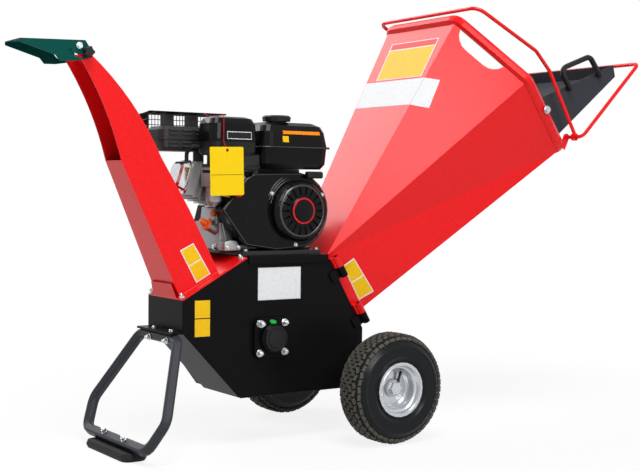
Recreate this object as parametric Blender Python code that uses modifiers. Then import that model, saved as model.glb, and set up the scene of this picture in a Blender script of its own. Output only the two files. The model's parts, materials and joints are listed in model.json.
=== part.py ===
"""Petrol wood chipper on two wheels and a stand, built at real size.

Metres, +Z up. X runs from the chute (low X) to the hopper (high X) and Y across the machine: the
recoil starter faces low Y and the belt drive high Y. Every part is laid out from the wheel axle,
and one parent empty then moves the machine so that its overall box is centred on the origin.
"""

import math

import bmesh
import bpy
from mathutils import Matrix, Vector

# Clearances and sheet thicknesses
SEAT_GAP = 0.0003
RUNNING_GAP = 0.0005
HOPPER_SHEET = 0.002
CHUTE_SHEET = 0.002
TRAY_SHEET = 0.002
HOUSING_PLATE = 0.004
GUARD_SHEET = 0.002

# Wheels and axle
WHEEL_RADIUS = 0.1325
TYRE_WIDTH = 0.086
BEAD_RADIUS = 0.062
WHEEL_TRACK = 0.4775
AXLE_RADIUS = 0.010
HUB_RADIUS = 0.019
HUB_OUTER = 0.008
HUB_INNER = 0.030
AXLE_END = 0.018
RIM_SHEET = 0.0028

# Chipper housing, a welded box seen from its side
HOUSING_WIDTH = 0.1734
HOUSING_LEFT_X = -0.483
HOUSING_RIGHT_X = 0.025
HOUSING_BASE_LEFT_X = -0.331
HOUSING_BASE_RIGHT_X = -0.041
HOUSING_BASE_Z = 0.1145
HOUSING_LEFT_LOW_Z = 0.277
HOUSING_LEFT_TOP_Z = 0.349
HOUSING_RIGHT_LOW_Z = 0.185
HOUSING_RIGHT_TOP_Z = 0.260
CHUTE_FACE_SLOPE = math.radians(28.6)
HOPPER_FACE_SLOPE = math.radians(59.4)
DECK_Z = 0.4476
DECK_THICKNESS = 0.004
DECK_LIP = 0.020
DECK_BACK_Y = 0.121

# Rotor and its bearings
ROTOR_X = -0.250
ROTOR_Z = 0.253
ROTOR_RADIUS = 0.108
ROTOR_WIDTH = 0.130
ROTOR_SHAFT_RADIUS = 0.0125
BEARING_SQUARE = 0.095
BEARING_BOLT_SPACING = 0.070
BEARING_FLANGE = 0.012
BEARING_BOSS_RADIUS = 0.034
BEARING_HEIGHT = 0.030
BEARING_BOSS_Y = 0.118
BEARING_CAP = 0.004
KNIFE_WIDTH = 0.068
KNIFE_THICKNESS = 0.006
BOLT_RADIUS = 0.005
BOLT_HEAD_RADIUS = 0.0085
BOLT_HEAD_HEIGHT = 0.006

# Stand
STAND_TUBE = 0.022
CORNER_SHARE = 0.2
STAND_TOP_HALF = 0.092
STAND_WIDE_HALF = 0.190
STAND_LOW_HALF = 0.160
STAND_WIDE_Z = 0.096
STAND_FOOT_X = -0.607
STAND_BEND_RADIUS = 0.034
STAND_LIP = 0.030
FOOT_LENGTH = 0.220
FOOT_WIDTH = 0.062
FOOT_HEIGHT = 0.018

# Discharge chute and its deflector
CHUTE_TOP_HALF = 0.042
CHUTE_BASE_HALF = 0.060
CHUTE_KNEE_X = -0.6155
CHUTE_KNEE_Z = 0.667
CHUTE_TIP_X = -0.717
CHUTE_TIP_Z = 0.914
CHUTE_FLANGE = 0.004
CHUTE_BASE_START = 0.0095
CHUTE_BASE_END = 0.1235
CHUTE_DEPTH = 0.100
DEFLECTOR_RISE = 0.0125
DEFLECTOR_LENGTH = 0.148
DEFLECTOR_REAR = 0.014
DEFLECTOR_HALF = 0.0455
DEFLECTOR_DROP = 0.036
DEFLECTOR_SHEET = 0.002
PIVOT_BOLT_RADIUS = 0.003
KNOB_RADIUS = 0.0135
KNOB_HEIGHT = 0.016
SLOT_RADIUS = 0.0225
KNOB_ANGLE = math.radians(-37)

# Hopper, a six-sided funnel from the housing's sloping face to a rolled mouth
MOUTH_X = 0.277
MOUTH_Z = 1.043
MOUTH_SLOPE = math.radians(44.37)
MOUTH_HEIGHT = 0.458
MOUTH_TOP_HALF = 0.140
MOUTH_WAIST_HALF = 0.240
MOUTH_WAIST = 0.216
MOUTH_LOW_HALF = 0.190
RIM_RADIUS = 0.014
BASE_MARGIN = 0.0107
HOPPER_FLANGE = 0.004
HOPPER_BASE = 0.178
PORT_MARGIN = 0.012
HAND_HOLE_LENGTH = 0.150
HAND_HOLE_DEPTH = 0.048
LUG_Y = 0.194
LUG_THICKNESS = 0.004
HINGE_RADIUS = 0.009
HINGE_PIN_RADIUS = 0.004
HINGE_BARREL = 0.028

# Feed tray and the two bails at the hopper's mouth
BAIL_RADIUS = 0.005
TRAY_LENGTH = 0.302
TRAY_HALF = 0.176
TRAY_LIP = 0.032
TRAY_CHEEK_REACH = 0.054
TRAY_SLOPE = math.radians(37.7)
TRAY_START_DOWN = 0.433
TRAY_START_OUT = 0.005
TRAY_PIVOT_DOWN = 0.320
TRAY_EAR_RADIUS = 0.013
BAIL_PIVOT_DOWN = 0.449
BAIL_PIVOT_OUT = 0.032
REAR_BAIL_REACH = 0.297
REAR_BAIL_SLOPE = math.radians(44)
REAR_BAIL_HALF = 0.255
RAIL_HALF = 0.205
HANDLE_RADIUS = 0.0075
HANDLE_SPAN = 0.122
HANDLE_RISE = 0.064
HANDLE_START = 0.105
TRAY_BOLT_RADIUS = 0.004
RAIL_EYE_Y = 0.226

# Engine, measured from its crankshaft
CRANK_X = -0.160
CRANK_HEIGHT = 0.106
CRANK_RADIUS = 0.0095
CASE_FRONT_Y = -0.020
CASE_BACK_Y = 0.112
SHROUD_FRONT_Y = -0.064
SHROUD_RADIUS = 0.092
SHROUD_WALL = 0.002
RECOIL_RADIUS = 0.074
RECOIL_DEPTH = 0.027
RECOIL_LOUVRES = 18
BADGE_RADIUS = 0.034
FAN_RADIUS = 0.068
FAN_BLADES = 12
CYLINDER_SLOPE = math.radians(16.7)
CYLINDER_START = 0.116
CYLINDER_LENGTH = 0.138
CYLINDER_HALF = 0.044
CYLINDER_Y = 0.035
FIN_COUNT = 9
FIN_THICKNESS = 0.0035
CASE_ROUND = 0.010
TANK_X = -0.172
TANK_Y = -0.006
TANK_LENGTH = 0.200
TANK_WIDTH = 0.168
TANK_BASE_Z = 0.654
TANK_SEAM_Z = 0.706
TANK_TOP_Z = 0.766
CAP_RADIUS = 0.035
CAP_HEIGHT = 0.014
AIRBOX_X = -0.3385
AIRBOX_Y = -0.034
AIRBOX_LENGTH = 0.127
AIRBOX_WIDTH = 0.088
AIRBOX_BASE_Z = 0.684
AIRBOX_SPLIT_Z = 0.716
AIRBOX_TOP_Z = 0.774
MUFFLER_X = -0.410
MUFFLER_Y = 0.078
MUFFLER_LENGTH = 0.140
MUFFLER_WIDTH = 0.092
MUFFLER_BASE_Z = 0.694
MUFFLER_HEIGHT = 0.058
GUARD_TOP_Z = 0.785
GUARD_LENGTH = 0.190
GUARD_DEPTH = 0.118
GUARD_DROP = 0.062
GUARD_LEAN = 0.3
GUARD_SHIFT = 0.004
GUARD_WIRE = 0.003
CARB_X = -0.375
CARB_Y = -0.036
CARB_TOP_Z = 0.655
OIL_Y = 0.008
OIL_RADIUS = 0.014
HOSE_RADIUS = 0.005
CAP_PLACE = (-0.199, -0.030)

# Belt drive
PULLEY_Y = 0.153
PULLEY_WIDTH = 0.030
ROTOR_PULLEY_RADIUS = 0.064
CRANK_PULLEY_RADIUS = 0.042
BELT_WIDTH = 0.010
BELT_HEIGHT = 0.008
BELT_CLEARANCE = 0.0015
GUARD_PLATE_Y = 0.1253
BELT_GUARD_DEPTH = 0.058

# Hang tag
TAG_WIDTH = 0.089
TAG_HEIGHT = 0.112
TAG_THICKNESS = 0.0006
TAG_X = -0.3745
TAG_Y = -0.096
TAG_Z = 0.646
TAG_TILT = math.radians(1.5)
STRING_RADIUS = 0.0009

# Derived places
CRANK_Z = DECK_Z + CRANK_HEIGHT
HOUSING_HALF = HOUSING_WIDTH / 2
BASE_HALF = HOUSING_HALF - BASE_MARGIN
PORT_HALF = BASE_HALF - 0.010
HOUSING_TOP_Z = DECK_Z - DECK_THICKNESS - SEAT_GAP
AXLE_Z = WHEEL_RADIUS
WHEEL_Y = WHEEL_TRACK / 2
CHUTE_ALONG = Vector((math.cos(CHUTE_FACE_SLOPE), 0, math.sin(CHUTE_FACE_SLOPE)))
CHUTE_OUT = Vector((-math.sin(CHUTE_FACE_SLOPE), 0, math.cos(CHUTE_FACE_SLOPE)))
FACE_DOWN = Vector((math.cos(HOPPER_FACE_SLOPE), 0, -math.sin(HOPPER_FACE_SLOPE)))
FACE_OUT = Vector((math.sin(HOPPER_FACE_SLOPE), 0, math.cos(HOPPER_FACE_SLOPE)))
FACE_LOW = Vector((HOUSING_RIGHT_X, 0, HOUSING_RIGHT_TOP_Z))
FACE_LENGTH = (HOUSING_TOP_Z - HOUSING_RIGHT_TOP_Z) / math.sin(HOPPER_FACE_SLOPE)
FACE_TOP = FACE_LOW - FACE_DOWN * FACE_LENGTH
MOUTH_TOP = Vector((MOUTH_X, 0, MOUTH_Z))
MOUTH_DOWN = Vector((math.cos(MOUTH_SLOPE), 0, -math.sin(MOUTH_SLOPE)))
MOUTH_OUT = Vector((math.sin(MOUTH_SLOPE), 0, math.cos(MOUTH_SLOPE)))
TRAY_PIVOT = MOUTH_TOP + MOUTH_DOWN * TRAY_PIVOT_DOWN
TRAY_START = MOUTH_TOP + MOUTH_DOWN * TRAY_START_DOWN + MOUTH_OUT * TRAY_START_OUT
BAIL_PIVOT = MOUTH_TOP + MOUTH_DOWN * BAIL_PIVOT_DOWN + MOUTH_OUT * BAIL_PIVOT_OUT
TRAY_ALONG = Vector((math.cos(TRAY_SLOPE), 0, math.sin(TRAY_SLOPE)))
TRAY_UP = Vector((-math.sin(TRAY_SLOPE), 0, math.cos(TRAY_SLOPE)))
HINGE_Y = -HOUSING_HALF - HINGE_RADIUS - SEAT_GAP
HINGE_OUT = 0.014
HINGE_DOWN = (0.010, 0.146)
OIL_OUT = Vector((-math.cos(math.radians(28)), 0, math.sin(math.radians(28))))
TIP_X = CHUTE_TIP_X - DEFLECTOR_LENGTH + DEFLECTOR_REAR
CYLINDER_OUT = Vector((-math.cos(CYLINDER_SLOPE), 0, math.sin(CYLINDER_SLOPE)))
CYLINDER_UP = Vector((math.sin(CYLINDER_SLOPE), 0, math.cos(CYLINDER_SLOPE)))
MOUTH_CORNERS = ((0, MOUTH_TOP_HALF), (MOUTH_WAIST, MOUTH_WAIST_HALF), (MOUTH_HEIGHT, MOUTH_LOW_HALF))
CHUTE_TIP = Vector((CHUTE_TIP_X, 0, CHUTE_TIP_Z))
KNOB_PLACE = CHUTE_TIP + Vector((math.cos(KNOB_ANGLE), 0, math.sin(KNOB_ANGLE))) * SLOT_RADIUS
CRANK = Vector((CRANK_X, 0, CRANK_Z))
ROTOR = Vector((ROTOR_X, 0, ROTOR_Z))
BACK = Vector((0, 1, 0))
UP = Vector((0, 0, 1))

HINGE_AXIS = FACE_TOP + BACK * HINGE_Y + FACE_OUT * HINGE_OUT
PARTS = "petrol_wood_chipper"
CUTTERS = "cutters"


def clear_scene():
    for obj in list(bpy.data.objects):
        bpy.data.objects.remove(obj, do_unlink=True)
    for name in (PARTS, CUTTERS):
        collection = bpy.data.collections.new(name)
        bpy.context.scene.collection.children.link(collection)


# Materials, one per finish

def material(name, colour, roughness, metallic=0.0):
    found = bpy.data.materials.get(name)
    if found:
        return found
    made = bpy.data.materials.new(name)
    made.use_nodes = True
    shader = made.node_tree.nodes["Principled BSDF"]
    shader.inputs["Base Color"].default_value = (*colour, 1)
    shader.inputs["Roughness"].default_value = roughness
    shader.inputs["Metallic"].default_value = metallic
    made.diffuse_color = (*colour, 1)
    return made


def red_paint():
    return material("red_paint", (0.78, 0.015, 0.012), 0.35)


def black_paint():
    return material("black_paint", (0.012, 0.012, 0.014), 0.4)


def deflector_paint():
    return material("deflector_paint", (0.03, 0.045, 0.04), 0.4)


def silver_paint():
    return material("silver_paint", (0.62, 0.64, 0.66), 0.3, 0.6)


def grey_paint():
    return material("grey_paint", (0.045, 0.05, 0.058), 0.45)


def black_plastic():
    return material("black_plastic", (0.015, 0.015, 0.017), 0.5)


def zinc():
    return material("zinc", (0.62, 0.63, 0.65), 0.3, 1.0)


def cast_aluminium():
    return material("cast_aluminium", (0.42, 0.42, 0.42), 0.5, 1.0)


def machined_steel():
    return material("machined_steel", (0.5, 0.5, 0.52), 0.35, 1.0)


def rubber():
    return material("rubber", (0.03, 0.03, 0.03), 0.8)


def orange_plastic():
    return material("orange_plastic", (0.85, 0.22, 0.03), 0.45)


def tag_card():
    return material("tag_card", (0.95, 0.78, 0.02), 0.6)


def string_red():
    return material("string_red", (0.7, 0.03, 0.03), 0.8)


# Shape helpers

def store(name, mesh, finish, cutter=False):
    obj = bpy.data.objects.new(name, mesh)
    bpy.data.collections[CUTTERS if cutter else PARTS].objects.link(obj)
    if cutter:
        obj.hide_render = True
        obj.display_type = "WIRE"
        return obj
    mesh.materials.clear()
    mesh.materials.append(finish)
    return obj


def smooth(obj, degrees=32):
    obj.data.shade_smooth()
    obj.data.set_sharp_from_angle(angle=math.radians(degrees))
    return obj


def to_mesh(shape, name, merge=0.000002):
    mesh = bpy.data.meshes.new(name)
    bmesh.ops.remove_doubles(shape, verts=shape.verts, dist=merge)
    bmesh.ops.recalc_face_normals(shape, faces=shape.faces)
    shape.to_mesh(mesh)
    shape.free()
    return mesh


def evaluated(obj, name):
    """The object's mesh with its modifiers or bevel, in world space; the object is removed."""
    bpy.context.view_layer.update()
    graph = bpy.context.evaluated_depsgraph_get()
    mesh = bpy.data.meshes.new_from_object(obj.evaluated_get(graph))
    mesh.transform(obj.matrix_world)
    bpy.data.objects.remove(obj, do_unlink=True)
    shape = bmesh.new()
    shape.from_mesh(mesh)
    bpy.data.meshes.remove(mesh)
    return to_mesh(shape, name)


def frame(origin, along, up):
    """A matrix whose local X is along, local Y is up and local Z is square to both."""
    along = Vector(along).normalized()
    up = Vector(up).normalized()
    side = along.cross(up)
    turn = Matrix((along, up, side)).transposed().to_4x4()
    return Matrix.Translation(Vector(origin)) @ turn


def outline(name, points, thickness, place):
    """A flat outline of 2D points, extruded evenly about its own plane and then placed."""
    curve = bpy.data.curves.new(name, "CURVE")
    curve.dimensions = "2D"
    curve.fill_mode = "BOTH"
    curve.extrude = thickness / 2
    spline = curve.splines.new("POLY")
    spline.points.add(len(points) - 1)
    for point, (x, y) in zip(spline.points, points):
        point.co = (x, y, 0, 1)
    spline.use_cyclic_u = True
    obj = bpy.data.objects.new(name, curve)
    bpy.context.scene.collection.objects.link(obj)
    mesh = evaluated(obj, name)
    mesh.transform(place)
    return mesh


def side_plate(name, points, low_y, high_y):
    """An outline given as X, Z points, extruded from low_y to high_y."""
    place = Matrix.Translation((0, (low_y + high_y) / 2, 0)) @ Matrix.Rotation(math.pi / 2, 4, "X")
    return outline(name, points, high_y - low_y, place)


def block(name, low, high, place=Matrix()):
    shape = bmesh.new()
    size = [b - a for a, b in zip(low, high)]
    centre = [(a + b) / 2 for a, b in zip(low, high)]
    scale = Matrix.Diagonal((*size, 1))
    bmesh.ops.create_cube(shape, size=1, matrix=place @ Matrix.Translation(centre) @ scale)
    return to_mesh(shape, name)


def turned(name, profile, origin, direction, steps=32):
    """A profile of (radius, height) points turned about direction through origin."""
    shape = bmesh.new()
    verts = [shape.verts.new((radius, 0, height)) for radius, height in profile]
    for one, two in zip(verts, verts[1:]):
        shape.edges.new((one, two))
    if profile[0][0] > 0 and profile[-1][0] > 0:
        shape.edges.new((verts[-1], verts[0]))
    mesh = bpy.data.meshes.new(name)
    shape.to_mesh(mesh)
    shape.free()
    obj = bpy.data.objects.new(name, mesh)
    bpy.context.scene.collection.objects.link(obj)
    screw = obj.modifiers.new("Turn", "SCREW")
    screw.steps = steps
    screw.render_steps = steps
    screw.use_merge_vertices = True
    screw.merge_threshold = 0.000002
    turn = Vector(direction).normalized().to_track_quat("Z", "Y").to_matrix().to_4x4()
    obj.matrix_world = Matrix.Translation(Vector(origin)) @ turn
    return evaluated(obj, name)


def cylinder(name, start, end, radius, steps=24):
    span = Vector(end) - Vector(start)
    return turned(name, [(0, 0), (radius, 0), (radius, span.length), (0, span.length)], start, span, steps)


def rounded_path(points, radius, steps=5, cyclic=False):
    """The points with each inner corner replaced by an arc of the given radius."""
    points = [Vector(point) for point in points]
    count = len(points)
    path = []
    for index, corner in enumerate(points):
        if not cyclic and index in (0, count - 1):
            path.append(corner)
            continue
        before = (points[index - 1] - corner).normalized()
        after = (points[(index + 1) % count] - corner).normalized()
        half = before.angle(after) / 2
        reach = radius / math.tan(half)
        centre = corner + (before + after).normalized() * (radius / math.sin(half))
        start = corner + before * reach - centre
        end = corner + after * reach - centre
        for step in range(steps + 1):
            path.append(centre + arc_between(start, end, step / steps))
    return path


def arc_between(start, end, share):
    angle = start.angle(end)
    if angle < 0.0001:
        return start.copy()
    return (start * math.sin((1 - share) * angle) + end * math.sin(share * angle)) / math.sin(angle)


def tube(name, points, radius, cyclic=False, resolution=2, square=0.0):
    """A tube along the points. A square size gives it a square section instead of a round one."""
    curve = bpy.data.curves.new(name, "CURVE")
    curve.dimensions = "3D"
    curve.use_fill_caps = True
    section = None
    if square:
        shape = bpy.data.curves.new(name + "_section", "CURVE")
        outline_points = section_points(square, square, square * CORNER_SHARE, 1)
        line = shape.splines.new("POLY")
        line.points.add(len(outline_points) - 1)
        for point, (x, y) in zip(line.points, outline_points):
            point.co = (x, y, 0, 1)
        line.use_cyclic_u = True
        section = bpy.data.objects.new(name + "_section", shape)
        bpy.context.scene.collection.objects.link(section)
        curve.bevel_mode = "OBJECT"
        curve.bevel_object = section
    else:
        curve.bevel_depth = radius
        curve.bevel_resolution = resolution
    spline = curve.splines.new("POLY")
    spline.points.add(len(points) - 1)
    for point, place in zip(spline.points, points):
        point.co = (*place, 1)
    spline.use_cyclic_u = cyclic
    obj = bpy.data.objects.new(name, curve)
    bpy.context.scene.collection.objects.link(obj)
    mesh = evaluated(obj, name)
    if section:
        bpy.data.objects.remove(section, do_unlink=True)
    return mesh


def section_points(width, height, radius, steps=3):
    """A rectangle with rounded corners, centred on the origin, as 2D points."""
    points = []
    for quarter, (sx, sy) in enumerate(((1, 1), (-1, 1), (-1, -1), (1, -1))):
        centre = (sx * (width / 2 - radius), sy * (height / 2 - radius))
        for step in range(steps + 1):
            angle = math.pi / 2 * (quarter + step / steps)
            points.append((centre[0] + radius * math.cos(angle), centre[1] + radius * math.sin(angle)))
    return points


def loft(name, sections, caps=True, ring=False):
    """Faces between sections that each hold the same number of points."""
    shape = bmesh.new()
    rows = [[shape.verts.new(point) for point in section] for section in sections]
    count = len(rows[0])
    pairs = list(zip(rows, rows[1:]))
    if ring:
        pairs.append((rows[-1], rows[0]))
    for one, two in pairs:
        for index in range(count):
            after = (index + 1) % count
            shape.faces.new((one[index], one[after], two[after], two[index]))
    if caps and not ring:
        shape.faces.new(rows[0])
        shape.faces.new(rows[-1])
    return to_mesh(shape, name)


def stacked(name, levels, centre, radius, steps=3):
    """A loft of rounded rectangles: each level is (z, length, width)."""
    sections = []
    for z, length, width in levels:
        corner = min(radius, length / 2.01, width / 2.01)
        flat = section_points(length, width, corner, steps)
        sections.append([(centre[0] + x, centre[1] + y, z) for x, y in flat])
    return loft(name, sections)


def merged(name, meshes):
    """Several closed shapes that don't touch, as one mesh."""
    shape = bmesh.new()
    for mesh in meshes:
        shape.from_mesh(mesh)
        bpy.data.meshes.remove(mesh)
    mesh = bpy.data.meshes.new(name)
    shape.to_mesh(mesh)
    shape.free()
    return mesh


def combine(obj, mesh, operation):
    """A live Boolean of obj with mesh, which is kept as a hidden object among the cutters."""
    number = len(obj.modifiers) + 1
    other = store(f"{obj.name}_{operation.lower()}_{number}", mesh, None, cutter=True)
    boolean = obj.modifiers.new(f"{operation.title()} {number}", "BOOLEAN")
    boolean.operation = operation
    boolean.solver = "EXACT"
    boolean.object = other
    return obj


def cut(obj, mesh):
    return combine(obj, mesh, "DIFFERENCE")


def join(obj, mesh):
    return combine(obj, mesh, "UNION")


def thicken(obj, thickness):
    """Sheet metal: the thickness goes to the inner side of the drawn surface."""
    solid = obj.modifiers.new("Sheet", "SOLIDIFY")
    solid.thickness = thickness
    solid.offset = -1
    solid.use_even_offset = True
    return obj


def rounded_edges(obj, width, segments=2, degrees=35):
    edge = obj.modifiers.new("Edges", "BEVEL")
    edge.width = width
    edge.segments = segments
    edge.limit_method = "ANGLE"
    edge.angle_limit = math.radians(degrees)
    return obj


def pivot_at(obj, point):
    """Moves the object's origin to a joint's axis without moving the piece."""
    point = Vector(point)
    obj.data.transform(Matrix.Translation(-point))
    obj.location = point
    return obj


def inset(points, distance):
    """A closed outline moved inwards by distance; the points run anticlockwise."""
    moved = []
    count = len(points)
    for index, (x, y) in enumerate(points):
        before = Vector((x, y)) - Vector(points[index - 1])
        after = Vector(points[(index + 1) % count]) - Vector((x, y))
        one = Vector((-before.y, before.x)).normalized()
        two = Vector((-after.y, after.x)).normalized()
        bisector = (one + two).normalized()
        moved.append(tuple(Vector((x, y)) + bisector * (distance / bisector.dot(one))))
    return moved


def bulged(start, end, rise, steps=8):
    """Points on an arc from start to end whose middle stands off the chord by rise, to its right."""
    start = Vector(start)
    end = Vector(end)
    chord = end - start
    side = Vector((chord.y, -chord.x)).normalized()
    points = []
    for step in range(steps + 1):
        share = step / steps
        points.append(start + chord * share + side * (rise * 4 * share * (1 - share)))
    return points


def bolt(name, seat, direction, grip, radius, head):
    """A hexagon head with its washer and shank, the washer seated a gap clear of its plate."""
    direction = Vector(direction).normalized()
    start = Vector(seat) + direction * SEAT_GAP
    washer = head * 1.25
    sheet = head * 0.2
    height = head * 0.8
    hexagon = [(0, height), (head, height), (head, sheet / 2), (0, sheet / 2)]
    made = store(name, turned(name, hexagon, start, direction, 6), zinc())
    shank = [(0, sheet), (washer, sheet), (washer, 0), (radius, 0), (radius, -grip), (0, -grip)]
    join(made, turned(name + "_shank", shank, start, direction, 16))
    return smooth(made)


# Housing and frame

def housing_outline():
    """The housing's side in X and Z, anticlockwise seen from low Y."""
    left_top_x = HOUSING_LEFT_X + (HOUSING_TOP_Z - HOUSING_LEFT_TOP_Z) / math.tan(CHUTE_FACE_SLOPE)
    return [
        (HOUSING_LEFT_X, HOUSING_LEFT_TOP_Z),
        (HOUSING_LEFT_X, HOUSING_LEFT_LOW_Z),
        (HOUSING_BASE_LEFT_X, HOUSING_BASE_Z),
        (HOUSING_BASE_RIGHT_X, HOUSING_BASE_Z),
        (HOUSING_RIGHT_X, HOUSING_RIGHT_LOW_Z),
        (HOUSING_RIGHT_X, HOUSING_RIGHT_TOP_Z),
        (FACE_TOP.x, HOUSING_TOP_Z),
        (left_top_x, HOUSING_TOP_Z),
    ]


def chute_face(along, y, out):
    """A point measured up the housing's chute face from its outer corner."""
    corner = Vector((HOUSING_LEFT_X, 0, HOUSING_LEFT_TOP_Z))
    return corner + CHUTE_ALONG * along + BACK * y + CHUTE_OUT * out


def hopper_face(down, y, out):
    """A point measured down the housing's hopper face from its upper edge."""
    return FACE_TOP + FACE_DOWN * down + BACK * y + FACE_OUT * out


def mouth(down, y, out):
    """A point measured down the hopper's mouth from the middle of its top edge."""
    return MOUTH_TOP + MOUTH_DOWN * down + BACK * y + MOUTH_OUT * out


def feed_port(name, depth):
    place = frame(hopper_face(0, 0, 0), FACE_DOWN, BACK)
    low = (PORT_MARGIN, -PORT_HALF, -depth)
    high = (HOPPER_BASE - PORT_MARGIN, PORT_HALF, depth)
    return block(name, low, high, place)


def make_housing():
    points = housing_outline()
    housing = store("chipper_housing", side_plate("housing", points, -HOUSING_HALF, HOUSING_HALF), black_paint())
    inner_half = HOUSING_HALF - HOUSING_PLATE
    cut(housing, side_plate("chamber", inset(points, HOUSING_PLATE), -inner_half, inner_half))
    place = frame(chute_face(0, 0, 0), CHUTE_ALONG, BACK)
    depth = HOUSING_PLATE * 3
    port_half = CHUTE_BASE_HALF - CHUTE_SHEET * 2
    low = (CHUTE_BASE_START + CHUTE_SHEET * 2, -port_half, -depth)
    high = (CHUTE_BASE_END - CHUTE_SHEET * 2, port_half, depth)
    cut(housing, block("chute_port", low, high, place))
    cut(housing, feed_port("hopper_port", depth))
    reach = BACK * HOUSING_WIDTH
    cut(housing, cylinder("shaft_hole", ROTOR - reach, ROTOR + reach, ROTOR_SHAFT_RADIUS * 1.6))
    half = HOUSING_HALF - HOUSING_PLATE / 4
    low = (HOUSING_LEFT_X - STAND_LIP, -half, HOUSING_LEFT_LOW_Z - HOUSING_PLATE)
    high = (HOUSING_LEFT_X + HOUSING_PLATE / 2, half, HOUSING_LEFT_LOW_Z + HOUSING_PLATE / 4)
    join(housing, block("stand_lip", low, high))
    for number, down in enumerate(HINGE_DOWN):
        join(housing, knuckle(f"housing_knuckle_{number}", down + HINGE_BARREL + RUNNING_GAP, -1))
    join(housing, axle_saddle())
    return smooth(housing)


def knuckle(name, down, side):
    """One hinge barrel with its strap: side -1 is welded to the housing, 1 to the hopper's flange."""
    start = hopper_face(down, HINGE_Y, HINGE_OUT)
    end = hopper_face(down + HINGE_BARREL, HINGE_Y, HINGE_OUT)
    ring = store(name + "_ring", cylinder(name, start, end, HINGE_RADIUS, 16), None, cutter=True)
    plate = HINGE_RADIUS / 2
    end_gap = HINGE_BARREL * 0.03
    if side < 0:
        low = (end_gap, HINGE_RADIUS - plate, -HINGE_OUT * 2.5)
        high = (HINGE_BARREL - end_gap, HINGE_RADIUS + SEAT_GAP + HOUSING_PLATE / 2, HINGE_RADIUS * 0.2)
    else:
        low = (end_gap, HINGE_RADIUS * 0.1, SEAT_GAP * 2 - HINGE_OUT)
        high = (HINGE_BARREL - end_gap, HINGE_RADIUS * 2, SEAT_GAP + HOPPER_FLANGE * 2 - HINGE_OUT)
    join(ring, block(name + "_strap", low, high, frame(start, FACE_DOWN, BACK)))
    run = FACE_DOWN * HINGE_RADIUS
    if side < 0:
        join(ring, cylinder(name + "_pin", start - FACE_DOWN * HINGE_BARREL * 1.08, start + run, HINGE_PIN_RADIUS, 16))
    else:
        cut(ring, cylinder(name + "_bore", start - run, end + run, HINGE_PIN_RADIUS + RUNNING_GAP, 16))
    return evaluated(ring, name)


def axle_saddle():
    """The bearing block along the housing's rear chamfer that the axle runs through."""
    low_corner = Vector((HOUSING_BASE_RIGHT_X, 0, HOUSING_BASE_Z))
    high_corner = Vector((HOUSING_RIGHT_X, 0, HOUSING_RIGHT_LOW_Z))
    along = (high_corner - low_corner).normalized()
    inward = Vector((-along.z, 0, along.x)) * (HOUSING_PLATE / 2)
    start = low_corner + along * HOUSING_PLATE + inward
    end = high_corner - along * HOUSING_PLATE + inward
    wall = AXLE_RADIUS * 1.8
    points = [(start.x, start.z), (-wall * 0.7, AXLE_Z - wall), (wall * 0.7, AXLE_Z - wall),
              (wall, AXLE_Z), (end.x, end.z)]
    half = HOUSING_HALF - HOUSING_PLATE / 4
    saddle = store("axle_saddle", side_plate("saddle", points, -half, half), None, cutter=True)
    reach = BACK * HOUSING_WIDTH
    centre = Vector((0, 0, AXLE_Z))
    cut(saddle, cylinder("axle_bore", centre - reach, centre + reach, AXLE_RADIUS + SEAT_GAP))
    return evaluated(saddle, "axle_saddle")


def make_deck():
    near = -HOUSING_HALF - RUNNING_GAP * 2 - DECK_THICKNESS
    far = DECK_BACK_Y
    low = DECK_Z - DECK_LIP
    inner = DECK_Z - DECK_THICKNESS
    points = [(near, DECK_Z), (near, low), (near + DECK_THICKNESS, low), (near + DECK_THICKNESS, inner),
              (far - DECK_THICKNESS, inner), (far - DECK_THICKNESS, low), (far, low), (far, DECK_Z)]
    start = HOUSING_LEFT_X + (HOUSING_TOP_Z - HOUSING_LEFT_TOP_Z) / math.tan(CHUTE_FACE_SLOPE)
    middle = (start + FACE_TOP.x) / 2
    place = frame((middle, 0, 0), BACK, UP)
    deck = store("engine_deck", outline("deck", points, FACE_TOP.x - start - RUNNING_GAP, place), black_paint())
    return rounded_edges(deck, DECK_THICKNESS * 0.3)


def make_bearing(name, side, boss_y, closed):
    """A four-bolt flange bearing. Side -1 faces low Y; a closed one hides the shaft's end."""
    face = HOUSING_HALF + SEAT_GAP
    low, high = sorted((side * face, side * (face + BEARING_FLANGE)))
    flat = section_points(BEARING_SQUARE, BEARING_SQUARE, BEARING_SQUARE * 0.16, 3)
    points = [(ROTOR_X + x, ROTOR_Z + z) for x, z in flat]
    bearing = store(name, side_plate(name, points, low, high), black_paint())
    depth = BEARING_FLANGE / 2
    rise = boss_y - face - depth
    dome = BEARING_BOSS_RADIUS * 0.25
    profile = [(0, rise), (BEARING_BOSS_RADIUS - dome, rise), (BEARING_BOSS_RADIUS, rise - dome),
               (BEARING_BOSS_RADIUS, 0), (0, 0)]
    base = ROTOR + BACK * side * (face + depth)
    join(bearing, turned(name + "_boss", profile, base, BACK * side, 32))
    bore = ROTOR_SHAFT_RADIUS + RUNNING_GAP
    reach = boss_y - BEARING_CAP if closed else boss_y * 1.1
    cut(bearing, cylinder(name + "_bore", ROTOR, ROTOR + BACK * side * reach, bore))
    return smooth(bearing)


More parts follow.
